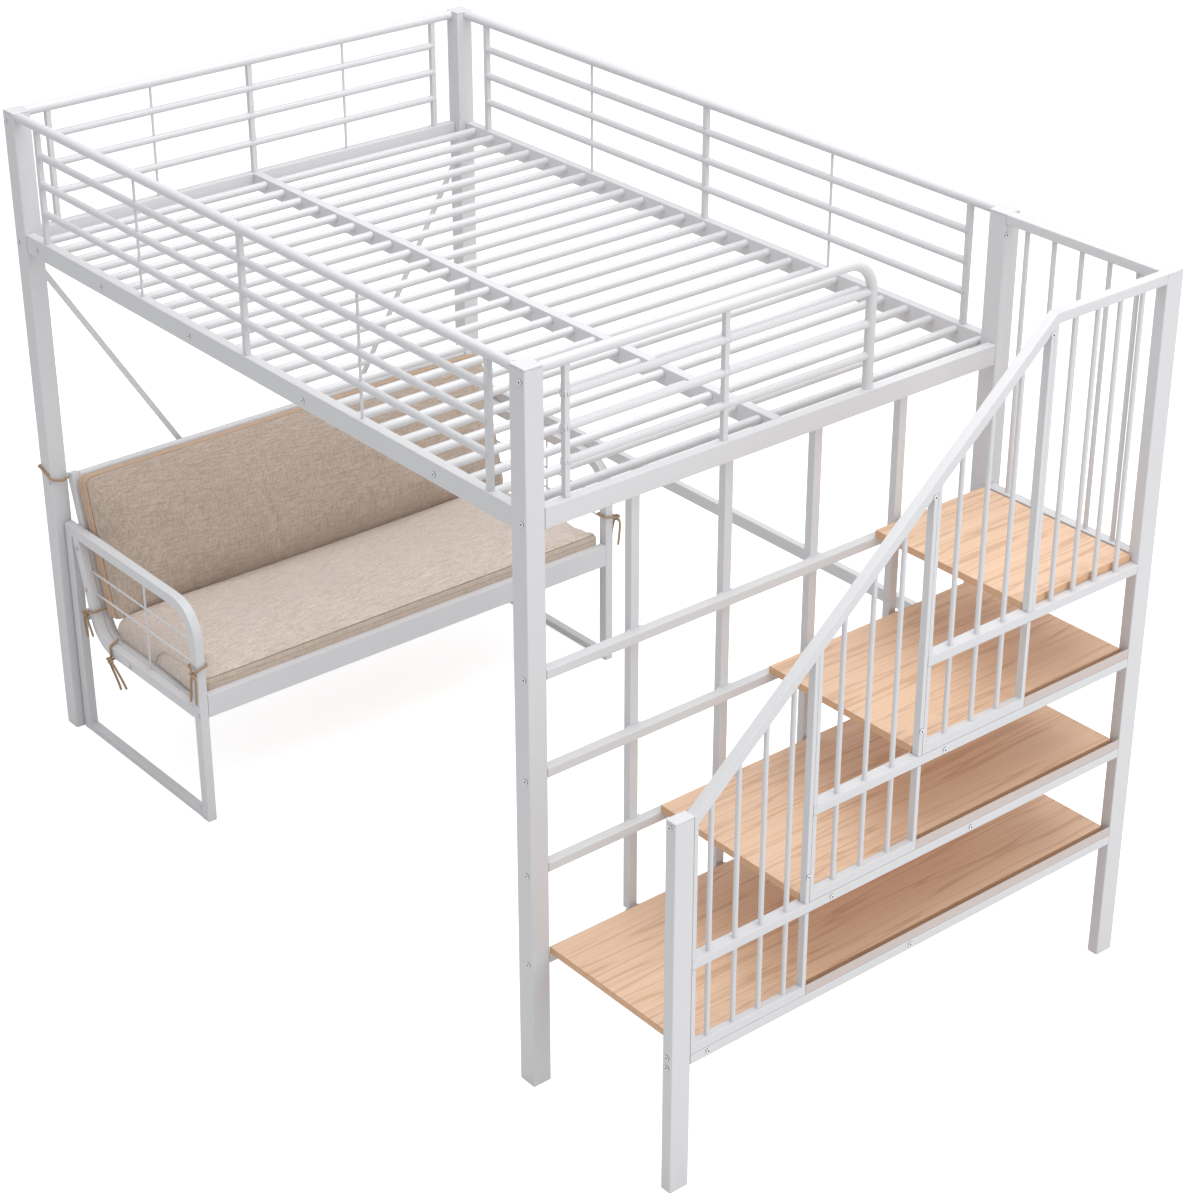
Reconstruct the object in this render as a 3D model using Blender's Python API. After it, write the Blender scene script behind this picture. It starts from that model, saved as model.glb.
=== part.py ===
"""Loft bed over a sofa, with a stair of four shelf treads at one end.

Steel frame of square posts, flat rails and round guard tubes, with a sofa
under the sleeping deck and board treads that step up beside it. X runs along
the bed to the stair, Y across it and Z up; the origin is on the floor in the
middle of the outline. Lengths are in metres.
"""

import math

import bmesh
import bpy
import numpy as np
from mathutils import Matrix, Vector

# Overall sizes
overall_width = 1.430
overall_height = 1.777
bed_length = 2.109
stair_depth = 0.473

# Clearances, joints and facets
fit = 0.0004
weld = 0.003
edge_round = 0.002
round_sides = 8
rail_sides = 12
bend_steps = 7
sharp_angle = math.radians(35)

# Posts and the sleeping deck
post_side = 0.050
post_round = 0.004
cap_height = 0.005
cap_groove = 0.0012
guard_height = 0.319
rail_height = 0.050
rail_width = 0.025
rail_inset = 0.003
centre_beam_height = 0.045
slat_diameter = 0.021
slat_drop = 0.016
slat_count = 25
slat_first = 0.088
slat_last_gap = 0.070

# Guards round the deck
guard_top_diameter = 0.025
guard_bar_diameter = 0.019
guard_pitch_share = 0.2367
guard_bars = 4
guard_inset = 0.016
guard_upright = 0.014
guard_rod_diameter = 0.007
guard_end_inset = 0.138
guard_back_inset = 0.1145
entry_width = 0.3875
entry_bend = 0.075
entry_first_upright = 0.117
entry_second_upright_share = 0.385

# Bed end under the deck, on the stair side
landing_drop = 0.381
tread_first = 0.348
tread_count = 4
ledger_height = 0.024
ledger_width = 0.025
end_bar_count = 4
end_bar_width = 0.0235
end_bar_depth = 0.022
end_bar_bite = 0.003
end_bar_first_share = 0.2173
end_bar_pitch_share = 0.186

# Side rail and back bracing
side_rail_height = 0.035
side_rail_width = 0.020
side_rail_inset = 0.002
side_rail_top = 0.667
back_rail_top = 0.335
back_rail_height = 0.025
back_rail_width = 0.025
brace_width = 0.015
brace_thickness = 0.006
brace_drop = 0.113
brace_foot = 0.042

# Stair
stair_post_x = 0.0305
stair_post_y = 0.052
stair_low_post_share = 0.534
stair_rail_width = 0.030
tread_thickness = 0.018
tread_bearing = 0.008
tread_inner_bearing = 0.003
tread_first_front = 0.0525
last_tread_depth = 0.357
tread_back_gap = 0.056
panel_depth = 0.020
panel_inset = 0.0005
panel_rail_height = 0.025
panel_upright = 0.0113
baluster_diameter = 0.012
baluster_counts = (4, 3, 3, 4)
baluster_pitches = (0.0734, 0.0815, 0.0815, 0.0711)
baluster_shift = -0.003
handrail_side = 0.025
handrail_cap_drop = 0.006
handrail_bend_shift = 0.0075
landing_inset = 0.001
landing_depth = 0.028
landing_rail_height = 0.024
landing_rail_top_drop = 0.001
landing_foot_height = 0.024
landing_foot_drop = 0.0045
landing_first = 0.0625
landing_pitch = 0.0808
landing_balusters = 5

# Sofa frame
arm_tube = 0.030
arm_depth = 0.026
arm_inset = 0.023
arm_back = 0.0555
arm_front = 0.697
arm_top = 0.637
arm_foot_height = 0.020
arm_bend = 0.085
seat_top = 0.336
back_lean = 0.266
head_rail_offset = 0.0654
wire_diameter = 0.007
wire_upper = 0.519
wire_lower = 0.4575
wire_upright = 0.419
seat_tube_depth = 0.025
front_rail_height = 0.066
front_rail_width = 0.022
front_rail_top = 0.377
head_rail_diameter = 0.025
head_rail_height = 0.765
seat_bar_count = 3
seat_bar_width = 0.025
seat_bar_height = 0.018
seat_bar_gap = 0.1465
seat_bar_pitch = 0.130
back_bar_height = 0.018
back_bar_shares = (0.3357, 0.7086)

# Cushions
cushion_side_gap = 0.0075
cushion_rows = 12
cushion_columns = 28
seat_cushion_gap = 0.0385
seat_cushion_edge = 0.050
seat_cushion_crown = 0.062
seat_cushion_draw = 0.006
back_cushion_foot = 0.392
back_cushion_rise = 0.0094
back_cushion_edge = 0.050
back_cushion_crown = 0.066
back_cushion_draw = 0.006
cushion_contact = 0.0006
cushion_shoulder = 0.006
seat_flare = 3
back_flare = 4
crown_width_share = 3
corner_power = 12
shoulder_power = 10

# Ties
cord_radius = 0.00275
cord_step = 0.007

bpy_data = bpy.data
for item in list(bpy_data.objects):
    bpy_data.objects.remove(item, do_unlink=True)

# Planes that the pieces share
overall_length = bed_length + stair_depth
x_back = -overall_length / 2
x_bed = x_back + bed_length
x_stair = overall_length / 2
y_near = -overall_width / 2
y_far = overall_width / 2
deck_top = overall_height - guard_height
slat_radius = slat_diameter / 2
bar_radius = guard_bar_diameter / 2
top_radius = guard_top_diameter / 2


def make_material(name, colour, roughness, metallic):
    """One Principled material."""
    material = bpy_data.materials.new(name)
    material.use_nodes = True
    shader = material.node_tree.nodes["Principled BSDF"]
    shader.inputs["Base Color"].default_value = (*colour, 1)
    shader.inputs["Roughness"].default_value = roughness
    shader.inputs["Metallic"].default_value = metallic
    return material


white_metal = ("white_metal", (0.80, 0.80, 0.82), 0.35, 0.0)
tread_wood = ("tread_wood", (0.74, 0.46, 0.26), 0.50, 0.0)
back_linen = ("back_linen", (0.45, 0.36, 0.28), 0.92, 0.0)
seat_linen = ("seat_linen", (0.61, 0.49, 0.39), 0.92, 0.0)
tie_cord = ("tie_cord", (0.40, 0.25, 0.14), 0.85, 0.0)

# One empty carries every piece
loft_bed = bpy_data.objects.new("loft_bed", None)
bpy.context.scene.collection.objects.link(loft_bed)


def add_object(name, data, look):
    """An object with its own copy of a look, linked to the scene."""
    piece = bpy_data.objects.new(name, data)
    data.materials.append(make_material(name + "_" + look[0], *look[1:]))
    bpy.context.scene.collection.objects.link(piece)
    piece.parent = loft_bed
    return piece


def centre_origin(piece):
    """Moves a piece's origin to the middle of its mesh, and leaves the piece where it is."""
    corners = [Vector(corner) for corner in piece.bound_box]
    middle = sum(corners, Vector()) / len(corners)
    piece.data.transform(Matrix.Translation(-middle))
    piece.location = middle
    return middle


def box(x, y, z):
    """Closed box between pairs of planes, as corners and faces."""
    shape = bmesh.new()
    bmesh.ops.create_cube(shape, size=1)
    for vert in shape.verts:
        vert.co = Vector([low + (high - low) * (side + 1 / 2)
                          for (low, high), side in zip((x, y, z), vert.co)])
    return shape


def rod(start, end, radius, sides):
    """Closed round bar between two points."""
    start, end = Vector(start), Vector(end)
    run = end - start
    shape = bmesh.new()
    bmesh.ops.create_cone(shape, cap_ends=True, segments=sides, radius1=radius, radius2=radius,
                          depth=run.length)
    turn = Matrix.Rotation(math.pi / sides, 4, "Z")
    aim = run.to_track_quat("Z", "Y").to_matrix().to_4x4()
    bmesh.ops.transform(shape, verts=shape.verts,
                        matrix=Matrix.Translation((start + end) / 2) @ aim @ turn)
    return shape


def bent_line(corners, radius):
    """Points of a line in a plane, with each inner corner bent to a radius."""
    points = [Vector(corners[0])]
    for before, corner, after in zip(corners, corners[1:], corners[2:]):
        before, corner, after = Vector(before), Vector(corner), Vector(after)
        way_in, way_out = (corner - before).normalized(), (after - corner).normalized()
        angle = way_in.angle(way_out)
        cut = radius * math.tan(angle / 2)
        side = (way_out - way_in * way_in.dot(way_out)).normalized()
        centre = corner - way_in * cut + side * radius
        for step in range(bend_steps + 1):
            turn = angle * step / bend_steps
            points.append(centre - side * radius * math.cos(turn) + way_in * radius * math.sin(turn))
    points.append(Vector(corners[-1]))
    return points


def ribbon(points, width, plane, side_planes):
    """Flat-sided tube along points of a plane: 'xz' or 'yz', between two planes across it."""
    half = width / 2
    left, right = [], []
    for i, point in enumerate(points):
        way_in = (point - points[i - 1]).normalized() if i else None
        way_out = (points[i + 1] - point).normalized() if i + 1 < len(points) else way_in
        way_in = way_in or way_out
        along = (way_in + way_out).normalized()
        square = Vector((-along.y, along.x))
        reach = half / square.dot(Vector((-way_in.y, way_in.x)))
        left.append(point + square * reach)
        right.append(point - square * reach)
    outline = left + right[::-1]
    shape = bmesh.new()
    low, high = side_planes

    def place(point, across):
        return (point.x, across, point.y) if plane == "xz" else (across, point.x, point.y)

    near = [shape.verts.new(place(p, low)) for p in outline]
    far = [shape.verts.new(place(p, high)) for p in outline]
    count, last = len(outline), len(left) - 1
    for i in range(count):
        j = (i + 1) % count
        shape.faces.new((near[i], near[j], far[j], far[i]))
    for i in range(last):
        j, k, m = i + 1, count - 1 - i, count - 2 - i
        shape.faces.new((near[i], near[j], near[m], near[k]))
        shape.faces.new((far[k], far[m], far[j], far[i]))
    bmesh.ops.recalc_face_normals(shape, faces=shape.faces)
    return shape


def round_tube(points, radius, sides):
    """Closed round tube along points of the plane x = constant, given as (x, y, z)."""
    points = [Vector(p) for p in points]
    shape = bmesh.new()
    rings = []
    for i, point in enumerate(points):
        way_in = (point - points[i - 1]).normalized() if i else None
        way_out = (points[i + 1] - point).normalized() if i + 1 < len(points) else way_in
        way_in = way_in or way_out
        along = (way_in + way_out).normalized()
        reach = radius / along.dot(way_in)
        across = Vector((1, 0, 0))
        upright = across.cross(along).normalized()
        ring = []
        for k in range(sides):
            angle = 2 * math.pi * (k + 1 / 2) / sides
            ring.append(shape.verts.new(point + across * radius * math.cos(angle)
                                        + upright * reach * math.sin(angle)))
        rings.append(ring)
    for a, b in zip(rings, rings[1:]):
        for k in range(sides):
            m = (k + 1) % sides
            shape.faces.new((a[k], a[m], b[m], b[k]))
    shape.faces.new(rings[0][::-1])
    shape.faces.new(rings[-1])
    bmesh.ops.recalc_face_normals(shape, faces=shape.faces)
    return shape


def to_mesh(name, shapes):
    """One mesh from several closed shapes, which are freed."""
    joined = bmesh.new()
    for shape in shapes:
        loose = bpy_data.meshes.new("loose")
        shape.to_mesh(loose)
        shape.free()
        joined.from_mesh(loose)
        bpy_data.meshes.remove(loose)
    mesh = bpy_data.meshes.new(name)
    joined.to_mesh(mesh)
    joined.free()
    mesh.shade_smooth()
    mesh.set_sharp_from_angle(angle=sharp_angle)
    return mesh


def solid(name, look, shape, rounding=0):
    """A single closed piece, its edges eased by a Bevel modifier when asked."""
    piece = add_object(name, to_mesh(name, [shape]), look)
    centre_origin(piece)
    if rounding:
        bevel = piece.modifiers.new("eased_edges", "BEVEL")
        bevel.width = rounding
        bevel.segments = 1
        bevel.limit_method = "ANGLE"
    return piece


def welded(name, look, first, others):
    """Pieces that overlap at their welds, fused into one closed body by a Boolean union."""
    piece = add_object(name, to_mesh(name, [first]), look)
    middle = centre_origin(piece)
    guide = bpy_data.objects.new(name + "_welds", to_mesh(name + "_welds", others))
    guide.data.transform(Matrix.Translation(-middle))
    guide.parent = piece
    bpy.context.scene.collection.objects.link(guide)
    guide.hide_render = True
    guide.display_type = "WIRE"
    union = piece.modifiers.new("welds", "BOOLEAN")
    union.operation = "UNION"
    union.solver = "EXACT"
    union.use_self = True
    union.object = guide
    return piece


# Posts: square tubes with eased corners, a shallow groove and a flat cap
post_spots = {"a": (x_bed - post_side, y_near), "b": (x_back, y_near),
              "c": (x_back, y_far - post_side), "d": (x_bed - post_side, y_far - post_side)}


def capped_post(name, x, y, size_x, size_y, top):
    """A post that stands on the floor, with its cap."""
    shape = bmesh.new()
    levels = ((0, 0), (top - cap_height, 0), (top - cap_height, cap_groove),
              (top - cap_height + cap_groove, cap_groove), (top - cap_height + cap_groove, 0), (top, 0))
    rings = []
    for z, inset in levels:
        eased = post_round
        x_low, x_high, y_low, y_high = x + inset, x + size_x - inset, y + inset, y + size_y - inset
        corners = ((x_low + eased, y_low), (x_high - eased, y_low), (x_high, y_low + eased),
                   (x_high, y_high - eased), (x_high - eased, y_high), (x_low + eased, y_high),
                   (x_low, y_high - eased), (x_low, y_low + eased))
        rings.append([shape.verts.new((cx, cy, z)) for cx, cy in corners])
    for low, high in zip(rings, rings[1:]):
        for i in range(len(low)):
            j = (i + 1) % len(low)
            shape.faces.new((low[i], low[j], high[j], high[i]))
    shape.faces.new(rings[0][::-1])
    shape.faces.new(rings[-1])
    bmesh.ops.recalc_face_normals(shape, faces=shape.faces)
    return solid(name, white_metal, shape)


for key, (px, py) in post_spots.items():
    capped_post("post_" + key, px, py, post_side, post_side, overall_height)

# Sleeping deck: side rails with round slats welded to them, end beams and a beam along the middle
bay_x = (x_back + post_side + fit, x_bed - post_side - fit)
bay_y = (y_near + post_side + fit, y_far - post_side - fit)
deck_z = (deck_top - rail_height, deck_top)
beam_z = (deck_top - centre_beam_height, deck_top)
back_beam_x = (x_back + rail_inset, x_back + rail_inset + rail_width)
bed_beam_x = (x_bed - rail_width, x_bed)
near_rail_y = (y_near + rail_inset, y_near + rail_inset + rail_width)
far_rail_y = (-near_rail_y[1], -near_rail_y[0])
centre_y = rail_width / 2
slat_z = deck_top - slat_drop
slat_low = x_back + slat_first
slat_high = x_bed - slat_last_gap
slat_places = [slat_low + (slat_high - slat_low) * i / (slat_count - 1) for i in range(slat_count)]

welded("deck_rail_near", white_metal, box(bay_x, near_rail_y, deck_z),
       [rod((x, near_rail_y[1] - weld, slat_z), (x, -centre_y - fit, slat_z), slat_radius, round_sides)
        for x in slat_places])
welded("deck_rail_far", white_metal, box(bay_x, far_rail_y, deck_z),
       [rod((x, centre_y + fit, slat_z), (x, far_rail_y[0] + weld, slat_z), slat_radius, round_sides)
        for x in slat_places])
solid("deck_centre_beam", white_metal,
      box((back_beam_x[1] + fit, bed_beam_x[0] - fit), (-centre_y, centre_y), beam_z), edge_round)
solid("deck_beam_back", white_metal, box(back_beam_x, bay_y, deck_z), edge_round)
solid("deck_beam_stair", white_metal, box(bed_beam_x, bay_y, deck_z), edge_round)

# Guards: four round bars, square uprights at the ends and the middle and thin rods between them
guard_pitch = guard_height * guard_pitch_share
bar_heights = [overall_height - top_radius - guard_pitch * i for i in range(guard_bars)]
guard_foot = deck_top + fit


def lower_bars(start, end):
    """The three bars under a guard's top bar, between two points of the floor plan."""
    return [rod((*start, z), (*end, z), bar_radius, round_sides) for z in bar_heights[1:]]


def upright_box(x, y, top, side=None):
    """A square upright that stands on the deck rail."""
    half = (side or guard_upright) / 2
    return box((x - half, x + half), (y - half, y + half), (guard_foot, top))


def thin_rod(x, y):
    """A thin rod from the deck rail up into the top bar."""
    return rod((x, y, guard_foot), (x, y, bar_heights[0]), guard_rod_diameter / 2, round_sides)


def guard(name, axis, across, low, high, end_inset):
    """A straight guard along X or Y: its top bar joins two posts, the others end at the end uprights."""

    def spot(along):
        return (along, across) if axis == "x" else (across, along)

    first, last = low + end_inset, high - end_inset
    middle = (first + last) / 2
    top_bar = rod((*spot(low), bar_heights[0]), (*spot(high), bar_heights[0]), top_radius, rail_sides)
    uprights = [upright_box(*spot(p), bar_heights[0]) for p in (first, middle, last)]
    rods = [thin_rod(*spot((a + b) / 2)) for a, b in ((first, middle), (middle, last))]
    welded(name, white_metal, top_bar, lower_bars(spot(first), spot(last)) + uprights + rods)


inset_to_post = guard_end_inset - post_side - fit
back_inset_to_post = guard_back_inset - post_side - fit
guard("guard_near", "x", y_near + guard_inset, *bay_x, inset_to_post)
guard("guard_far", "x", y_far - guard_inset, *bay_x, inset_to_post)
guard("guard_back", "y", x_back + guard_inset, *bay_y, back_inset_to_post)

# Entry guard: its top bar bends down to the deck beam and leaves the way in from the stair open
entry_x = x_bed - guard_inset
entry_y = y_far - post_side - entry_width
entry_line = bent_line([(bay_y[0], bar_heights[0]), (entry_y - top_radius, bar_heights[0]),
                        (entry_y - top_radius, guard_foot)], entry_bend)
entry_tube = round_tube([(entry_x, p.x, p.y) for p in entry_line], top_radius, rail_sides)
entry_parts = lower_bars((entry_x, y_near + entry_first_upright), (entry_x, entry_y - top_radius))
entry_parts += [upright_box(entry_x, y_near + y, bar_heights[0])
                for y in (entry_first_upright, overall_width * entry_second_upright_share)]
welded("guard_entry", white_metal, entry_tube, entry_parts)

# Bed end: four ledgers that carry the treads, with square bars behind them up to the deck beam
tread_pitch = (deck_top - landing_drop - tread_first) / (tread_count - 1)
tread_levels = [tread_first + tread_pitch * i for i in range(tread_count)]
ledger_x = (x_bed - ledger_width, x_bed)
end_bar_x = (ledger_x[0] + end_bar_bite - end_bar_depth, ledger_x[0] + end_bar_bite)
end_bars_at = [y_near + overall_width * (end_bar_first_share + end_bar_pitch_share * i)
               for i in range(end_bar_count)]
end_ledgers = [box(ledger_x, bay_y, (z - ledger_height, z)) for z in tread_levels]
end_bars = [box(end_bar_x, (y - end_bar_width / 2, y + end_bar_width / 2),
                (tread_first - weld, deck_z[0] - fit)) for y in end_bars_at]
welded("bed_end_grid", white_metal, end_ledgers[0], end_ledgers[1:] + end_bars)

# Long side rail on the far side, and the cross rail and braces behind the sofa
side_rail_y = (y_far - side_rail_inset - side_rail_width, y_far - side_rail_inset)
solid("side_rail_far", white_metal,
      box(bay_x, side_rail_y, (side_rail_top - side_rail_height, side_rail_top)), edge_round)
back_x = x_back + post_side / 2
back_rail_z = (back_rail_top - back_rail_height, back_rail_top)
brace_top = deck_top - brace_drop
solid("back_cross_rail", white_metal,
      box((back_x - back_rail_width / 2, back_x + back_rail_width / 2), bay_y, back_rail_z), edge_round)
brace_x = (back_x - brace_thickness / 2, back_x + brace_thickness / 2)
for name, side in (("brace_near", -1), ("brace_far", 1)):
    wall = side * (-bay_y[0])
    foot = side * brace_foot
    lower = back_rail_z[1] + fit
    slope = (brace_top - lower) / (abs(wall) - brace_foot)
    rise = brace_width * math.hypot(1, slope)
    half_cut = side * rise / slope / 2
    strip = bmesh.new()
    outline = ((foot - half_cut, lower), (foot + half_cut, lower), (wall, brace_top - rise / 2),
               (wall, brace_top + rise / 2))
    near = [strip.verts.new((brace_x[0], y, z)) for y, z in outline]
    far = [strip.verts.new((brace_x[1], y, z)) for y, z in outline]
    strip.faces.new(near)
    strip.faces.new(far[::-1])
    for i in range(len(near)):
        j = (i + 1) % len(near)
        strip.faces.new((near[i], far[i], far[j], near[j]))
    bmesh.ops.recalc_face_normals(strip, faces=strip.faces)
    solid(name, white_metal, strip)

# Stair posts, tread ledgers and board treads
stair_post_low_x = x_stair - stair_post_x
stair_low_post_top = overall_height * stair_low_post_share
capped_post("stair_post_near", stair_post_low_x, y_near, stair_post_x, stair_post_y, stair_low_post_top)
capped_post("stair_post_far", stair_post_low_x, y_far - stair_post_y, stair_post_x, stair_post_y,
            overall_height)
stair_y = (y_near + stair_post_y + fit, y_far - stair_post_y - fit)
stair_rail_x = (x_stair - stair_rail_width, x_stair)
panel_x = (x_stair - panel_inset - panel_depth, x_stair - panel_inset)
tread_back = overall_width - tread_back_gap
tread_run = (tread_back - last_tread_depth - tread_first_front) / (tread_count - 1)
fronts = [y_near + tread_first_front + tread_run * i for i in range(tread_count)]
joint_y = [stair_y[0]] + [front + panel_upright for front in fronts[1:]]
for i, level in enumerate(tread_levels):
    rail_start = stair_y[0] if i < 2 else joint_y[i - 1] + fit
    solid("tread_rail_" + str(i + 1), white_metal,
          box(stair_rail_x, (rail_start, stair_y[1]), (level - ledger_height, level)), edge_round)
    solid("tread_" + str(i + 1), tread_wood,
          box((x_bed - tread_inner_bearing, stair_rail_x[0] + tread_bearing),
              (fronts[i], y_near + tread_back), (level + fit, level + fit + tread_thickness)), edge_round)

# Side panels of the stair: a foot rail on each tread rail, with round balusters and flat uprights
panel_mid_x = (panel_x[0] + panel_x[1]) / 2


def baluster_places(low, high, bay):
    """The places of a bay's balusters, at its pitch, about the middle of the gap between its uprights."""
    count = baluster_counts[bay]
    middle = (low + high) / 2 + baluster_shift
    return [middle + (i - (count - 1) / 2) * baluster_pitches[bay] for i in range(count)]


for i in range(tread_count - 1):
    low_y = joint_y[i] + fit
    high_y = joint_y[i + 1]
    foot = tread_levels[i] + fit
    roof = tread_levels[i + 1] - ledger_height - fit
    foot_rail = box(panel_x, (low_y, high_y), (foot, foot + panel_rail_height))
    inner = (low_y + panel_upright, high_y - panel_upright)
    parts = [box(panel_x, (low_y, inner[0]), (foot + panel_rail_height - weld, roof)),
             box(panel_x, (inner[1], high_y), (foot + panel_rail_height - weld, roof))]
    parts += [rod((panel_mid_x, y, foot + panel_rail_height - weld), (panel_mid_x, y, roof),
                  baluster_diameter / 2, round_sides) for y in baluster_places(*inner, i)]
    welded("stair_panel_" + str(i + 1), white_metal, foot_rail, parts)

# Handrail: it climbs from the low stair post to a mitre, runs level and ends at the tall one
handrail_half = handrail_side / 2
bend_y = joint_y[-1] + handrail_bend_shift
level_z = overall_height - handrail_half
slope_rise = level_z - (stair_low_post_top - handrail_cap_drop - handrail_half)
start_y = stair_y[0]
steepness = slope_rise / (bend_y - start_y)
handrail_line = [Vector((start_y, level_z - slope_rise)), Vector((bend_y, level_z)),
                 Vector((stair_y[1], level_z))]
handrail_x = (panel_x[1] - handrail_side, panel_x[1])
handrail = ribbon(handrail_line, handrail_side, "yz", handrail_x)
for vert in handrail.verts:
    if vert.co.y < start_y + handrail_side and abs(vert.co.z - (level_z - slope_rise)) < handrail_side:
        vert.co.z += (start_y - vert.co.y) * steepness
        vert.co.y = start_y


def under_handrail(y):
    """Height of the handrail's centre line over a place along the stair."""
    return min(level_z, level_z - (bend_y - y) * steepness)


upper_parts = []
for i in range(tread_count):
    landing = i + 1 == tread_count
    low_y = joint_y[i] + (0 if landing else fit)
    high_y = stair_y[1] if landing else joint_y[i + 1]
    floor_level = tread_levels[min(i + 1, tread_count - 1)] + fit
    inner = (low_y + panel_upright, high_y if landing else high_y - panel_upright)
    uprights = [(low_y, inner[0])] + ([] if landing else [(inner[1], high_y)])
    for a, b in uprights:
        upper_parts.append(box(panel_x, (a, b), (floor_level, under_handrail((a + b) / 2))))
    for y in baluster_places(*inner, i):
        upper_parts.append(rod((panel_mid_x, y, floor_level), (panel_mid_x, y, under_handrail(y)),
                               baluster_diameter / 2, round_sides))
welded("stair_handrail", white_metal, handrail, upper_parts)

# Landing guard between the bed post and the tall stair post
landing_x = (x_bed + fit, stair_post_low_x - fit)
landing_y = (y_far - post_side + landing_inset, y_far - post_side + landing_inset + landing_depth)
landing_mid_y = (landing_y[0] + landing_y[1]) / 2
landing_top = overall_height - landing_rail_top_drop
landing_foot = tread_levels[-1] - landing_foot_drop
landing_places = [landing_x[1] - landing_first - landing_pitch * i for i in range(landing_balusters)]
landing_parts = [box(landing_x, landing_y, (landing_foot, landing_foot + landing_foot_height))]
landing_parts += [rod((x, landing_mid_y, landing_foot + landing_foot_height / 2),
                      (x, landing_mid_y, landing_top - landing_rail_height / 2),
                      baluster_diameter / 2, round_sides) for x in landing_places]
welded("landing_guard", white_metal,
       box(landing_x, landing_y, (landing_top - landing_rail_height, landing_top)), landing_parts)

# Sofa arms: a bent loop with its foot bar, an inner tube that bends from the back to the seat, and wires
half_tube = arm_tube / 2
back_stretch = math.hypot(1, back_lean)


def back_line(height):
    """Centre of the leaning tubes at a height."""
    return x_back + head_rail_offset + (head_rail_height - height) * back_lean


seat_line = seat_top - half_tube
seat_corner = (back_line(seat_line), seat_line)
seat_end = x_back + arm_front - arm_tube + weld
arm_loop = bent_line([(x_back + arm_back + half_tube, arm_top - half_tube),
                      (x_back + arm_front - half_tube, arm_top - half_tube),
                      (x_back + arm_front - half_tube, 0)], arm_bend)
inner_loop = bent_line([(back_line(arm_top - half_tube), arm_top - half_tube), seat_corner,
                        (seat_end, seat_line)], arm_bend)
wire_radius = wire_diameter / 2
arm_plane = y_near + arm_inset
wire_y = arm_plane + arm_depth - weld - wire_radius
rear_leg_x = (x_back + arm_back, x_back + arm_back + arm_tube)
front_leg_inner = x_back + arm_front - arm_tube


def arm(name, side):
    """One arm; side is -1 on the near side and 1 on the far side."""
    y_pair = sorted((side * (-arm_plane), side * (-arm_plane - arm_depth)))
    wire_plane = side * (-wire_y)
    loop = ribbon(arm_loop, arm_tube, "xz", y_pair)
    parts = [ribbon(inner_loop, arm_tube, "xz", [y_pair[0] + fit / 2, y_pair[1] - fit / 2]),
             box(rear_leg_x, y_pair, (0, arm_top)),
             box((rear_leg_x[1] - weld, front_leg_inner + weld), [y_pair[0] + fit, y_pair[1] - fit],
                 (fit, arm_foot_height))]
    for height in (wire_upper, wire_lower):
        parts.append(rod((back_line(height), wire_plane, height),
                         (front_leg_inner + half_tube, wire_plane, height), wire_radius, round_sides))
    parts.append(rod((x_back + wire_upright, wire_plane, seat_line),
                     (x_back + wire_upright, wire_plane, arm_top - half_tube), wire_radius, round_sides))
    return welded(name, white_metal, loop, parts)


arm("sofa_arm_near", -1)
arm("sofa_arm_far", 1)

# Bent tubes inside the arms, which carry the seat and the leaning back
tube_outer = arm_plane + arm_depth + fit
tube_inner = tube_outer + seat_tube_depth
head_x = back_line(head_rail_height)
head_radius = head_rail_diameter / 2
tube_top = head_rail_height + head_radius
seat_front = x_back + arm_front - front_rail_width
tube_line = bent_line([(back_line(tube_top), tube_top), seat_corner, (seat_front - fit, seat_line)], arm_bend)
for name, side in (("seat_tube_near", -1), ("seat_tube_far", 1)):
    solid(name, white_metal,
          ribbon(tube_line, arm_tube, "xz", sorted((side * (-tube_outer), side * (-tube_inner)))))
between_tubes = (tube_inner + fit, -tube_inner - fit)
between_arms = (arm_plane + arm_depth + fit, -arm_plane - arm_depth - fit)
solid("sofa_head_rail", white_metal,
      rod((head_x, between_tubes[0], head_rail_height), (head_x, between_tubes[1], head_rail_height),
          head_radius, rail_sides))
solid("sofa_front_rail", white_metal,
      box((seat_front, x_back + arm_front), between_arms,
          (front_rail_top - front_rail_height, front_rail_top)), edge_round)
for i in range(seat_bar_count):
    bar_x = seat_corner[0] + seat_bar_gap + seat_bar_pitch * i
    solid("seat_bar_" + str(i + 1), white_metal,
          box((bar_x - seat_bar_width / 2, bar_x + seat_bar_width / 2), between_tubes,
              (seat_top - seat_bar_height, seat_top)), edge_round)
lean_angle = math.atan(back_lean)
for i, share in enumerate(back_bar_shares):
    height = seat_top + (head_rail_height - seat_top) * share
    slab = box((-back_bar_height / 2, back_bar_height / 2), between_tubes,
               (-seat_bar_width / 2, seat_bar_width / 2))
    bar = solid("back_bar_" + str(i + 1), white_metal, slab, edge_round)
    bar.location = (back_line(height) + half_tube - back_bar_height / 2, 0, height)
    bar.rotation_euler = (0, -lean_angle, 0)

# Cushions: boxed sides drawn in at the seams, with a crowned face


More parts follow.
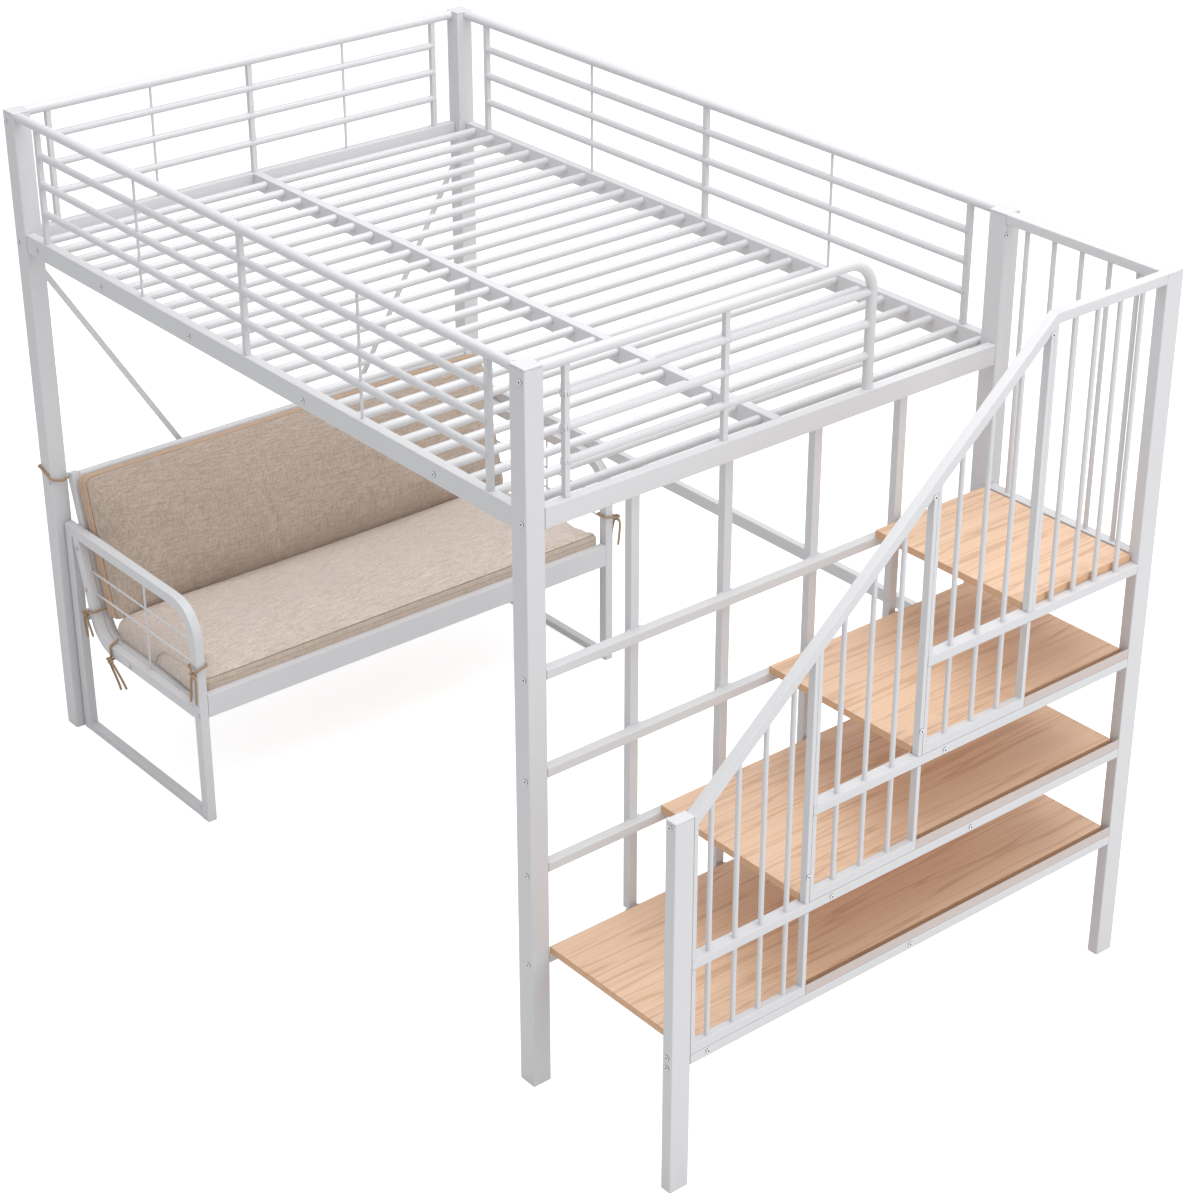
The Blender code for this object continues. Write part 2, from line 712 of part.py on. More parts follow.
def cushion(name, look, depth, width, edge, crown, draw, flare):
    """A boxed cushion lying flat from the middle of one long lower edge, its crown up."""
    columns, rows = cushion_columns, cushion_rows
    shape = bmesh.new()

    def spread(count):
        """Places from 0 to 1, closer together near both ends."""
        return [(1 - math.cos(math.pi * i / count)) / 2 for i in range(count + 1)]

    def dome(u, v):
        """Share of the crown over a place."""
        return (1 - abs(2 * u - 1) ** flare) * (1 - abs(2 * v - 1) ** (flare * crown_width_share))

    layers = {}
    for level, height, lift in (("low", 0, 0), ("high", edge, crown)):
        grid = {}
        for i, u in enumerate(spread(rows)):
            for j, v in enumerate(spread(columns)):
                corner = (abs(2 * u - 1) * abs(2 * v - 1)) ** corner_power
                pull_u = (1 / 2 - u) * draw * 2 * corner
                pull_v = (1 / 2 - v) * draw * 2 * corner
                z = height + lift * dome(u, v)
                if level == "low":
                    z = cushion_shoulder * (1 - (1 - abs(2 * u - 1) ** shoulder_power)
                                            * (1 - abs(2 * v - 1) ** (2 * shoulder_power)))
                grid[i, j] = shape.verts.new((u * depth + pull_u, (v - 1 / 2) * width + pull_v, z))
        layers[level] = grid
    rim = ([(i, 0) for i in range(rows)] + [(rows, j) for j in range(columns)]
           + [(i, columns) for i in range(rows, 0, -1)] + [(0, j) for j in range(columns, 0, -1)])
    middle = {}
    for key in rim:
        low, high = layers["low"][key].co, layers["high"][key].co
        spot = (low + high) / 2
        inward = Vector((depth / 2, 0, spot.z)) - spot
        inward.x = math.copysign(draw, inward.x) if key[0] in (0, rows) else 0
        inward.y = math.copysign(draw, inward.y) if key[1] in (0, columns) else 0
        inward.z = 0
        middle[key] = shape.verts.new(spot + inward)
    for i in range(rows):
        for j in range(columns):
            square = ((i, j), (i + 1, j), (i + 1, j + 1), (i, j + 1))
            shape.faces.new([layers["high"][k] for k in square])
            shape.faces.new([layers["low"][k] for k in square[::-1]])
    for a, b in zip(rim, rim[1:] + rim[:1]):
        shape.faces.new((layers["low"][a], layers["low"][b], middle[b], middle[a]))
        shape.faces.new((middle[a], middle[b], layers["high"][b], layers["high"][a]))
    bmesh.ops.recalc_face_normals(shape, faces=shape.faces)
    return add_object(name, to_mesh(name, [shape]), look)


cushion_width = -2 * (arm_plane + arm_depth + cushion_side_gap)
seat_cushion_back = seat_corner[0] + seat_cushion_gap
seat_cushion_depth = seat_front - cushion_contact - seat_cushion_back
seat_cushion = cushion("seat_cushion", seat_linen, seat_cushion_depth, cushion_width, seat_cushion_edge,
                       seat_cushion_crown, seat_cushion_draw, seat_flare)
seat_cushion.location = (seat_cushion_back, 0, seat_top + cushion_contact)
back_cushion_length = (head_rail_height - back_cushion_foot) * back_stretch + back_cushion_rise
back_cushion = cushion("back_cushion", back_linen, back_cushion_length, cushion_width, back_cushion_edge,
                       back_cushion_crown, back_cushion_draw, back_flare)
lean = Vector((math.cos(lean_angle), 0, math.sin(lean_angle)))
rise_way = Vector((-math.sin(lean_angle), 0, math.cos(lean_angle)))
face_x = back_line(back_cushion_foot) + half_tube * back_stretch * math.cos(lean_angle)
back_cushion.matrix_world = Matrix.Translation(
    Vector((face_x, 0, back_cushion_foot)) + lean * cushion_contact
) @ Matrix((rise_way, Vector((0, 1, 0)) * -1, lean)).transposed().to_4x4()

# Ties: thin cords that hold the cushions' corners to the posts, arms and tubes. Each route is a list of
# points measured from the corner of the near post by the sofa, mirrored for the far side.
tie_routes = {
    "tie_post": [(0.066, 0.045, 0.770), (0.060, 0.030, 0.762), (0.0545, 0.010, 0.765),
                 (0.0525, -0.0035, 0.774), (0.040, -0.0037, 0.779), (0.010, -0.0037, 0.788),
                 (-0.0035, -0.0030, 0.791), (-0.0037, 0.025, 0.790), (-0.0037, 0.0530, 0.786),
                 (0.010, 0.0537, 0.783), (0.036, 0.0537, 0.779)],
    "tie_back": [(0.188, 0.0560, 0.412), (0.1815, 0.040, 0.410), (0.1795, 0.0205, 0.405),
                 (0.162, 0.0195, 0.402), (0.147, 0.0193, 0.3995), (0.1415, 0.0225, 0.399),
                 (0.1425, 0.040, 0.400), (0.1430, 0.060, 0.401), (0.1430, 0.0775, 0.402),
                 (0.150, 0.0780, 0.403), (0.165, 0.0780, 0.404)],
    "tie_back_tails": [(0.1645, 0.0180, 0.338), (0.156, 0.0172, 0.355), (0.148, 0.0155, 0.378),
                       (0.1440, 0.0143, 0.392), (0.1415, 0.0158, 0.4005), (0.1355, 0.0160, 0.391),
                       (0.1320, 0.0155, 0.370), (0.1345, 0.0168, 0.345), (0.138, 0.0176, 0.322)],
    "tie_seat": [(0.240, 0.0535, 0.3470), (0.246, 0.040, 0.3445), (0.252, 0.0210, 0.3405),
                 (0.253, 0.0194, 0.325), (0.253, 0.0194, 0.3045), (0.254, 0.0215, 0.3012),
                 (0.255, 0.045, 0.3022), (0.255, 0.0740, 0.3012), (0.255, 0.0778, 0.3040),
                 (0.255, 0.0780, 0.318), (0.255, 0.0780, 0.330)],
    "tie_seat_tails": [(0.300, 0.0185, 0.226), (0.288, 0.0175, 0.250), (0.272, 0.0155, 0.275),
                       (0.258, 0.0135, 0.297), (0.2530, 0.0134, 0.3080), (0.2610, 0.0130, 0.3040),
                       (0.282, 0.0155, 0.280), (0.303, 0.0175, 0.260), (0.321, 0.0185, 0.241)],
    "tie_front": [(0.6650, 0.0130, 0.358), (0.6680, 0.0130, 0.385), (0.6730, 0.0130, 0.420),
                  (0.6820, 0.0135, 0.445), (0.6945, 0.0155, 0.453), (0.7007, 0.0215, 0.458),
                  (0.7007, 0.0350, 0.464), (0.7005, 0.0520, 0.468), (0.6830, 0.0530, 0.467),
                  (0.6640, 0.0525, 0.466), (0.6635, 0.0360, 0.465), (0.6640, 0.0200, 0.463),
                  (0.6740, 0.0185, 0.4590), (0.6860, 0.0105, 0.4560), (0.6905, 0.0080, 0.440),
                  (0.6905, 0.0090, 0.410), (0.6900, 0.0100, 0.380), (0.6895, 0.0105, 0.360)],
}


def smooth_route(points, step):
    """Points at even steps on a smooth curve through a route."""
    way = np.array([points[0]] + list(points) + [points[-1]], dtype=float)
    fine = []
    for before, a, b, after in zip(way, way[1:], way[2:], way[3:]):
        for t in np.linspace(0, 1, 24, endpoint=False):
            fine.append((2 * a + (b - before) * t + (2 * before - 5 * a + 4 * b - after) * t * t
                         + (3 * a - before - 3 * b + after) * t ** 3) / 2)
    fine.append(way[-1])
    fine = np.array(fine)
    run = np.concatenate(([0], np.cumsum(np.linalg.norm(np.diff(fine, axis=0), axis=1))))
    places = np.linspace(0, run[-1], max(2, int(round(run[-1] / step)) + 1))
    return np.stack([np.interp(places, run, fine[:, k]) for k in range(3)], axis=1)


for route_name, route in tie_routes.items():
    points = smooth_route(route, cord_step)
    for side_name, side in (("near", 1), ("far", -1)):
        curve = bpy_data.curves.new(route_name + "_" + side_name, "CURVE")
        curve.dimensions = "3D"
        curve.bevel_depth = cord_radius
        curve.bevel_resolution = 2
        curve.use_fill_caps = True
        spline = curve.splines.new("POLY")
        spline.points.add(len(points) - 1)
        for point, place in zip(spline.points, points - points[0]):
            point.co = (place[0], side * place[1], place[2], 1)
        cord = add_object(route_name + "_" + side_name, curve, tie_cord)
        cord.location = (x_back + points[0][0], side * (y_near + points[0][1]), points[0][2])
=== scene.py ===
"""Looks of a loft bed over a sofa, with a stair of four board treads at one end.

White powder-coated steel tubes, light reddish boards, linen cushions and tan ties. The sections follow the
bed as it is put together. Lengths are in metres; the frame gives every place that the solids already have.
"""

import math

import bmesh
import bpy
import numpy as np
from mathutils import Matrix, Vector


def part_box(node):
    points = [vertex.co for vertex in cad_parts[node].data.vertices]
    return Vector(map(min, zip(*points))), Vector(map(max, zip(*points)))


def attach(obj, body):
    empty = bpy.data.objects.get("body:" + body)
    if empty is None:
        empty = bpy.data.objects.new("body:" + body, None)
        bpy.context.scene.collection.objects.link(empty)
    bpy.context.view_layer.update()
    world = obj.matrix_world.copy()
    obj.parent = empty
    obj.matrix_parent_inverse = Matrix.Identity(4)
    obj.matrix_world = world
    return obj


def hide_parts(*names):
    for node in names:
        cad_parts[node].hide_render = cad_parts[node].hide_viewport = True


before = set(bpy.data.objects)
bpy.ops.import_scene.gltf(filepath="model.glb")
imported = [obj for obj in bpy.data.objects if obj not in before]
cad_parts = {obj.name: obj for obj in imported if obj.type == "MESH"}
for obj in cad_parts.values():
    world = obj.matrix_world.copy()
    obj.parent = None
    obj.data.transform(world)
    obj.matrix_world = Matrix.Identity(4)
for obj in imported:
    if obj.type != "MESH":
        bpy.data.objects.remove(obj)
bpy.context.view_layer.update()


def added(name, data):
    """An object that shows some data, linked to the scene."""
    made = bpy.data.objects.new(name, data)
    bpy.context.scene.collection.objects.link(made)
    return made


def corners(node):
    """The low and the high corner of a node's box."""
    return [np.array(corner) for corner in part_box(node)]


# Camera: it stands off the corner between the long side and the stair, above the deck, and looks down
# over the bed to the sofa. The lens is a short telephoto one, so the far posts lean in only a little.
camera_place = (4.7202, -3.7383, 3.9255)
camera_turn = math.radians(50.49)
camera_dip = math.radians(28.356)
camera_lens = 81.69
camera = added("camera", bpy.data.cameras.new("camera"))
camera.data.lens = camera_lens
camera.data.sensor_width = 36
camera.location = camera_place
camera.rotation_euler = (math.pi / 2 - camera_dip, 0, camera_turn)
bpy.context.scene.camera = camera

# Ties: thin soft cords sewn to the cushions' corners, wound round the nearest post or tube and knotted.
# Each is a round cord of twisted yarns, with a knot where the ends cross. Routes and knots are given in
# millimetres from the near rear post's outer corner, and are mirrored for the far side.
cord_radius = 0.0034
cord_sides = 12
cord_step = 0.0025
route_fineness = 24
cord_tan = (0.54, 0.375, 0.235)
# The cord shade is painted shade, for the grooves between the twisted yarns.
cord_shade = (0.26, 0.16, 0.088)
tip_share = 0.72
twist_pitch = 0.0075
twist_strands = 3
knot_size = 0.0092
knot_steps = 72
knot_flatness = 1.9
knot_yarn = 0.86
corner_x, corner_y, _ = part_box("post_b")[0]


def plug(tree, place, value):
    """Links a node's socket, or sets it to a plain value or colour."""
    if isinstance(value, Socket):
        tree.links.new(value.socket, place)
    else:
        place.default_value = (*value, 1) if place.type == "RGBA" else value


class Socket:
    """A shader socket on which sums, products and powers make their own Math nodes."""

    def __init__(self, tree, socket):
        self.tree, self.socket = tree, socket

    def math(self, operation, *values):
        node = self.tree.nodes.new("ShaderNodeMath")
        node.operation = operation
        for place, value in zip(node.inputs, values):
            plug(self.tree, place, value)
        return Socket(self.tree, node.outputs[0])

    def __add__(self, other):
        return self.math("ADD", self, other)

    __radd__ = __add__

    def __sub__(self, other):
        return self.math("SUBTRACT", self, other)

    def __rsub__(self, other):
        return self.math("SUBTRACT", other, self)

    def __mul__(self, other):
        return self.math("MULTIPLY", self, other)

    __rmul__ = __mul__

    def __pow__(self, power):
        return self.math("POWER", self, power)

    def wave(self):
        """Sine of the value, from -1 to 1."""
        return self.math("SINE", self)

    def clamped(self):
        """The value held between 0 and 1."""
        node = self.tree.nodes.new("ShaderNodeClamp")
        self.tree.links.new(self.socket, node.inputs[0])
        return Socket(self.tree, node.outputs[0])


even = (1, 1, 1)


class Finish:
    """A material, its Principled shader and one method that makes any other node."""

    def __init__(self, name, roughness, **constants):
        self.material = bpy.data.materials.new(name)
        self.material.use_nodes = True
        self.tree = self.material.node_tree
        self.shader = self.tree.nodes["Principled BSDF"]
        self.shader.inputs["Roughness"].default_value = roughness
        for label, value in constants.items():
            self.shader.inputs[label.replace("_", " ")].default_value = value

    def node(self, kind, settings=(), output=0, **values):
        """A node of a type, its settings first and then the values or links of its sockets."""
        made = self.tree.nodes.new(kind)
        for setting, value in dict(settings).items():
            setattr(made, setting, value)
        for label, value in values.items():
            numbered = label[1:].isdigit()
            plug(self.tree, made.inputs[int(label[1:]) if numbered else label.replace("_", " ")], value)
        return Socket(self.tree, made.outputs[output])

    def place(self, scale=even, turn=(0, 0, 0), kind="Object"):
        """Object coordinates or the UV map, scaled and turned."""
        start = self.node("ShaderNodeTexCoord", output=kind)
        return self.node("ShaderNodeMapping", Vector=start, Scale=scale, Rotation=turn)

    def noise(self, stretch, scale, detail=2.0, roughness=0.5, turn=(0, 0, 0)):
        """Soft noise from 0 to 1, on Object coordinates stretched and turned."""
        return self.node("ShaderNodeTexNoise", Vector=self.place(stretch, turn), Scale=scale, Detail=detail,
                         Roughness=roughness)

    def split(self, where):
        """The three parts of a place."""
        made = self.tree.nodes.new("ShaderNodeSeparateXYZ")
        self.tree.links.new(where.socket, made.inputs[0])
        return [Socket(self.tree, part) for part in made.outputs]

    def mix(self, share, first, second):
        """Two colours mixed by a share."""
        return self.node("ShaderNodeMix", {"data_type": "RGBA"}, 2, _0=share, _6=first, _7=second)

    def feed(self, label, value):
        """Links a varying value to one of the shader's sockets."""
        self.tree.links.new(value.socket, self.shader.inputs[label])

    def bump(self, height, distance, strength=1.0):
        """A bump in metres, feeding the shader's normal."""
        bumped = self.node("ShaderNodeBump", Height=height, Distance=distance, Strength=strength)
        self.feed("Normal", bumped)


def cord_finish():
    """Twisted yarn: sine ridges that wind round the cord, with painted shade in the grooves, and loose
    fibres.
    """
    finish = Finish("tie_yarn", 0.85, Sheen_Weight=0.25, Sheen_Roughness=0.5)
    u, v, _ = finish.split(finish.place(kind="UV"))
    ridge = ((u * twist_strands + v * (1 / twist_pitch)) * math.tau).wave() * 0.5 + 0.5
    fibre = finish.noise((900, 900, 900), 1.0, 3)
    finish.feed("Base Color", finish.mix((ridge * 0.6 + fibre * 0.4).clamped(), cord_shade, cord_tan))
    finish.bump(ridge * 0.8 + fibre * 0.35, 0.0006)
    return finish.material


def unit(vectors):
    """A vector, or rows of vectors, at length 1."""
    return vectors / np.linalg.norm(vectors, axis=-1, keepdims=True)


def turns(count):
    """Even angles round a circle."""
    return np.linspace(0, math.tau, count, endpoint=False)


def smooth_route(points, step):
    """Even steps on a smooth curve through a route: each point pulls the curve by its two neighbours."""
    way = np.array([points[0]] + list(points) + [points[-1]], dtype=float)
    t = np.linspace(0, 1, route_fineness, endpoint=False)[:, None]
    fine = [(2 * a + (b - before) * t + (2 * before - 5 * a + 4 * b - after) * t ** 2
             + (3 * a - before - 3 * b + after) * t ** 3) / 2
            for before, a, b, after in zip(way, way[1:], way[2:], way[3:])]
    fine = np.vstack(fine + [way[-1:]])
    run = np.concatenate(([0], np.cumsum(np.linalg.norm(np.diff(fine, axis=0), axis=1))))
    places = np.linspace(0, run[-1], int(round(run[-1] / step)) + 1)
    return np.stack([np.interp(places, run, fine[:, k]) for k in range(3)], axis=1), run[-1]


def grid_faces(rows, columns):
    """Quads between rows of points; each row meets itself."""
    i, j = np.meshgrid(np.arange(rows - 1), np.arange(columns), indexing="ij")
    k = (j + 1) % columns
    return np.stack([i * columns + j, i * columns + k, (i + 1) * columns + k, (i + 1) * columns + j],
                    axis=-1).reshape(-1, 4).tolist()


def tube_faces(rows, columns):
    """Quads between rows of points, and a flat face at each end."""
    last = (rows - 1) * columns
    return grid_faces(rows, columns) + [list(range(columns))[::-1], list(range(last, last + columns))]


def ring_faces(rows, columns):
    """Quads between rows of points, the last of which meets the first."""
    return [[v % (rows * columns) for v in face] for face in grid_faces(rows + 1, columns)]


def wrapped(line, first, second, radius, run):
    """Circles of points round a line, between two axes, with their UV: the turn and the run."""
    turn = turns(cord_sides)
    ring = np.cos(turn)[:, None] * first[:, None] + np.sin(turn)[:, None] * second[:, None]
    uv = np.stack(np.broadcast_arrays(turn / math.tau, run[:, None]), -1)
    return (line[:, None] + ring * radius[:, None, None]).reshape(-1, 3), uv.reshape(-1, 2)


def cord_shape(line):
    """A round cord: a circle set square to the line at each step, its first axis carried along without
    twisting, and drawn in to a blunt tip at each end. Also gives the UV of each point."""
    along = unit(np.gradient(line, axis=0))
    side = np.cross(along[0], (0.3, 0.2, 0.9))
    sides = []
    for direction in along:
        side = unit(side - direction * (side @ direction))
        sides.append(side)
    radius = np.full(len(line), cord_radius)
    radius[[0, -1]] *= tip_share
    run = np.arange(len(line)) * cord_step
    points, uv = wrapped(line, np.array(sides), np.cross(along, sides), radius, run)
    return points, tube_faces(len(line), cord_sides), uv


def knot_shape(centre, size, axis):
    """An overhand knot's lump: a trefoil line, thickened to a cord and pulled tight round its middle."""
    t = turns(knot_steps)
    flat = np.stack([np.sin(t) + 2 * np.sin(2 * t), np.cos(t) - 2 * np.cos(2 * t), -np.sin(3 * t)], 1)
    axis = unit(np.array(axis))
    first = unit(np.cross(axis, (0.1, 0.3, 1.0)))
    flat *= (size / 3, size / 3, size / knot_flatness)
    line = centre + flat @ np.stack([first, np.cross(axis, first), axis])
    along = unit(np.roll(line, -1, axis=0) - np.roll(line, 1, axis=0))
    out = line - centre
    out = unit(out - along * np.sum(out * along, axis=1)[:, None])
    radius = np.full(len(line), cord_radius * knot_yarn)
    points, uv = wrapped(line, out, np.cross(along, out), radius, t * size)
    return points, ring_faces(len(line), cord_sides), uv


def new_piece(name, points, faces, material, replaced=(), uv=None, sharp=40):
    """A piece at the origin with its place in its mesh, smooth but for edges sharper than an angle."""
    mesh = bpy.data.meshes.new(name)
    mesh.from_pydata(np.asarray(points).tolist(), [], faces)
    if uv is not None:
        layer = mesh.uv_layers.new(name="UVMap")
        corner = np.empty(len(mesh.loops), int)
        mesh.loops.foreach_get("vertex_index", corner)
        layer.data.foreach_set("uv", uv[corner].astype(np.float32).ravel())
    work = bmesh.new()
    work.from_mesh(mesh)
    bmesh.ops.recalc_face_normals(work, faces=work.faces)
    work.to_mesh(mesh)
    work.free()
    mesh.materials.append(material)
    mesh.shade_smooth()
    mesh.set_sharp_from_angle(angle=math.radians(sharp))
    piece = added(name, mesh)
    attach(piece, "root")
    if replaced:
        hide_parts(*replaced)
    return piece


tie_routes = {
    "tie_post": [
        (66, 45, 770), (60, 30, 762), (54.5, 10, 765), (52.5, -3.5, 774), (40, -3.7, 779),
        (10, -3.7, 788), (-3.5, -3, 791), (-3.7, 25, 790), (-3.7, 53, 786), (10, 53.7, 783),
        (36, 53.7, 779)],
    "tie_back": [
        (188, 56, 416), (183, 40, 416), (180, 20.5, 414), (162, 19, 407), (147, 18.8, 400.5),
        (141, 22.5, 399), (142.5, 40, 400), (143, 60, 401), (143, 77.5, 402), (150, 78, 403),
        (165, 78, 404)],
    "tie_back_tails": [
        (169, 16.5, 336), (160, 16, 355), (151, 14.5, 378), (145.5, 13.5, 394), (140, 14, 402),
        (134.5, 15, 392), (132, 15, 370), (135, 16, 345), (139, 16.5, 322)],
    "tie_seat": [
        (240, 53.5, 347), (246, 40, 344.5), (252, 21, 340.5), (253, 19.4, 325), (253, 19.4, 304.5),
        (254, 21.5, 301.2), (255, 45, 302.2), (255, 74, 301.2), (255, 77.8, 304), (255, 78, 318),
        (255, 78, 330)],
    "tie_seat_tails": [
        (296, 17.5, 226), (283, 16.5, 250), (267, 14.5, 275), (255.5, 12.5, 297), (256, 12, 308),
        (268, 12, 302), (290, 14.5, 280), (310, 16.5, 260), (327, 17.5, 241)],
    "tie_front": [
        (674.5, 12.5, 364), (679, 12.5, 400), (685, 12, 432), (693, 12, 451.5), (700.8, 18, 457.5),
        (701.1, 35, 464), (700.9, 52, 468), (683, 53.4, 467), (663.4, 52.9, 466), (663.1, 36, 465),
        (663.6, 19.5, 463), (674, 18, 460), (692, 11.8, 457.5), (706.5, 9, 450), (711.5, 9.5, 434),
        (708.5, 10, 400), (705, 10.5, 370)],
}
knot_places = {"tie_back_tails": (140.2, 14, 397.5), "tie_seat_tails": (256, 12.8, 302),
               "tie_front": (698.5, 11.2, 454.5)}
yarn = cord_finish()


def tie_place(x, y, z, side):
    """A place in metres on the near or the far side, from millimetres off the post's corner."""
    return np.array((corner_x + x / 1000, side * (corner_y + y / 1000), z / 1000))


for tie, route in tie_routes.items():
    for side_name, side in (("near", 1), ("far", -1)):
        node = tie + "_" + side_name
        line, length = smooth_route([tie_place(*point, side) for point in route], cord_step)
        points, faces, uv = cord_shape(line)
        cord = new_piece(node + "_yarn", points, faces, yarn, [node], uv, 80)
        knots = []
        if tie in knot_places:
            points, faces, uv = knot_shape(tie_place(*knot_places[tie], side), knot_size, (0.2, side, 0.3))
            knots = [new_piece(node + "_knot", points, faces, yarn, (), uv, 80)]

# Posts: square steel tubes with a tight corner radius and a satin white powder coat. A plastic cap closes
# each one; it stands a little proud, with a dark line under its rim.
steel_round = 0.0022
slim_round = 0.0015
corner_steps = 3
paint_white = (0.70, 0.70, 0.715)
paint_shade = (0.655, 0.65, 0.665)


def powder_coat(name, roughness=0.36):
    """Satin white powder coat: an even white with a faint cool drift and a fine orange peel."""
    finish = Finish(name, roughness)
    drift = finish.noise(even, 2.2, 2)
    peel = finish.noise(even, 420, 2)
    finish.feed("Base Color", finish.mix(drift, paint_shade, paint_white))
    finish.feed("Roughness", peel * 0.10 + (roughness - 0.05))
    finish.bump(peel, 0.00012, 0.6)
    return finish.material


white_coat = powder_coat("white_powder_coat")


def tube_outline(width, depth, radius):
    """Outline of a square tube: a quarter circle at each corner, carried round the four corners."""
    turn = np.linspace(0, math.pi / 2, corner_steps + 1)
    quarters = []
    for k, (sx, sy) in enumerate(((1, 1), (-1, 1), (-1, -1), (1, -1))):
        angle = turn + k * math.pi / 2
        quarters.append(np.stack([sx * (width / 2 - radius) + radius * np.cos(angle),
                                  sy * (depth / 2 - radius) + radius * np.sin(angle)], 1))
    return np.vstack(quarters)


def round_outline(diameter, sides=20):
    """Outline of a round tube."""
    turn = turns(sides)
    return np.stack([np.cos(turn), np.sin(turn)], 1) * diameter / 2


def carried(outline, line, across, grow=None):
    """A closed tube: the outline is set square to the line at each point, its first axis along across,
    and leant half-way into each bend, so that the tube keeps its thickness."""
    line = np.asarray(line, float)
    runs = unit(np.diff(line, axis=0))
    before, after = np.vstack([runs[:1], runs]), np.vstack([runs, runs[-1:]])
    along = unit(before + after)
    stretch = 1 / np.sum(along * before, axis=1)
    first = np.asarray(across, float)
    second = np.cross(along, first) * stretch[:, None]
    grow = np.ones(len(line)) if grow is None else np.asarray(grow, float)
    flat = outline[None] * grow[:, None, None]
    points = line[:, None] + flat[..., :1] * first + flat[..., 1:] * second[:, None]
    return points.reshape(-1, 3), tube_faces(len(line), len(outline))


def rod(diameter, start, end, across=(1, 0, 0), sides=20, grow=None):
    """A straight round bar between two points."""
    return carried(round_outline(diameter, sides), [start, end], across, grow)


def joined(shapes):
    """Several shells as one list of points and faces."""
    points, faces, base = [], [], 0
    for shape_points, shape_faces in shapes:
        points.append(shape_points)
        faces += [[base + v for v in face] for face in shape_faces]
        base += len(shape_points)
    return np.vstack(points), faces


def steel(name, shapes, replaced, material=None):
    """A hard piece, of white steel or another material, whose flats shade flat up to their edges."""
    points, faces = joined(shapes)
    piece = new_piece(name, points, faces, material or white_coat, replaced)
    piece.modifiers.new("flat_faces", "WEIGHTED_NORMAL").keep_sharp = True


def bar_between(low, high, along, radius=steel_round):
    """A straight square bar between two corners, with its ends eased over the corner radius."""
    low, high = np.array(low, float), np.array(high, float)
    start, end = (low + high) / 2, (low + high) / 2
    start[along], end[along] = low[along], high[along]
    first, second = [k for k in range(3) if k != along]
    width, depth = (high - low)[[first, second]]
    ease = radius * 0.4
    step = np.eye(3)[along] * ease
    shrink = 1 - 2 * ease / min(width, depth)
    return carried(tube_outline(width, depth, radius), [start, start + step, end - step, end],
                   np.eye(3)[first], [shrink, 1, 1, shrink])


def straight(node, along, radius=steel_round):
    """A straight square bar that fills a node's box along an axis."""
    return bar_between(*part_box(node), along, radius)


def steel_bars(axis, slot, *nodes):
    """Nodes that are each one straight square bar along an axis."""
    for node in nodes:
        steel(node + "_tube", [straight(node, axis)], [node])


cap_height = 0.005
cap_gap = 0.0012
cap_round = 0.00286


def capped(node):
    """A post: its tube, the dark line under its cap, and the cap with a softly domed top."""
    low, high = corners(node)
    seam = high[2] - cap_height
    levels = [(low[2], 0.975), (low[2] + 0.0012, 1), (seam - cap_gap, 1), (seam - cap_gap * 0.7, 0.985),
              (seam - cap_gap * 0.3, 0.93), (seam - cap_gap * 0.1, 0.93), (seam, 0.985), (seam + 0.0006, 1),
              (high[2] - 0.0016, 1), (high[2] - 0.0006, 0.978), (high[2], 0.93)]
    x, y, _ = (low + high) / 2
    outline = tube_outline(*(high - low)[:2], cap_round)
    shape = carried(outline, [(x, y, z) for z, _ in levels], (1, 0, 0), [share for _, share in levels])
    steel(node + "_tube", [shape], [node])


for node in ("post_a", "post_b", "post_c", "post_d"):
    capped(node)

# Sleeping deck: flat side rails and end beams, bolted to the posts, with a beam along the middle. Round
# tube slats run between them, let into the rails a little under their tops.
slat_diameter = 0.021
slat_count = 25
slat_drop = 0.016
slat_fit = 0.0002
slat_lap = 0.005
slat_insets = (0.088, 0.070)
rail_width = 0.025
slat_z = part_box("deck_centre_beam")[1].z - slat_drop
slat_xs = np.linspace(corner_x + slat_insets[0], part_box("post_a")[1].x - slat_insets[1], slat_count)
beam_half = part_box("deck_centre_beam")[1].y

for side_name, side in (("near", -1), ("far", 1)):
    node = "deck_rail_" + side_name
    low, high = corners(node)
    outer = low[1] if side < 0 else high[1]
    low[1], high[1] = sorted((outer, outer - side * rail_width))
    steel(node + "_tube", [bar_between(low, high, 0)], [node])
    slat_ys = (outer - side * (rail_width - slat_lap), side * (beam_half + slat_fit))
    steel("slats_" + side_name, [rod(slat_diameter, *((x, y, slat_z) for y in slat_ys)) for x in slat_xs], [])

steel_bars(0, "frame_paint", "deck_centre_beam")
steel_bars(1, "frame_paint", "deck_beam_back", "deck_beam_stair")

# Guards: round tubes welded to square uprights that stand on the deck rails, with a thin rod between the
# uprights. The top tube is stouter. At the way in from the stair it bends down to the beam.
top_tube = 0.025
guard_tube = 0.019
guard_pitch = 0.0755
upright_side = 0.014
rod_diameter = 0.007
long_inset = 0.088
back_inset = 0.0645
guard_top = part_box("post_a")[1].z - top_tube / 2
guard_heights = [guard_top - guard_pitch * i for i in (1, 2, 3)]
weld_size = 0.0022
weld_rise = 0.0008
weld_steps = 20
weld_sides = 6
bend_steps = 14


def weld_ring(centre, direction, radius):
    """A small fillet of weld round the end of a bar: a ring of oval section."""
    centre, direction = np.array(centre, float), np.array(direction, float)
    side = unit(np.cross(direction, (0.31, 0.52, 0.79)))
    turn = turns(weld_steps)[:, None, None]
    ring = np.cos(turn) * side + np.sin(turn) * np.cross(direction, side)
    round_turn = turns(weld_sides)[:, None]
    points = (centre + ring * (radius + weld_size * 0.5 * np.cos(round_turn))
              + direction * weld_size * 0.6 * np.sin(round_turn))
    return points.reshape(-1, 3), ring_faces(weld_steps, weld_sides)


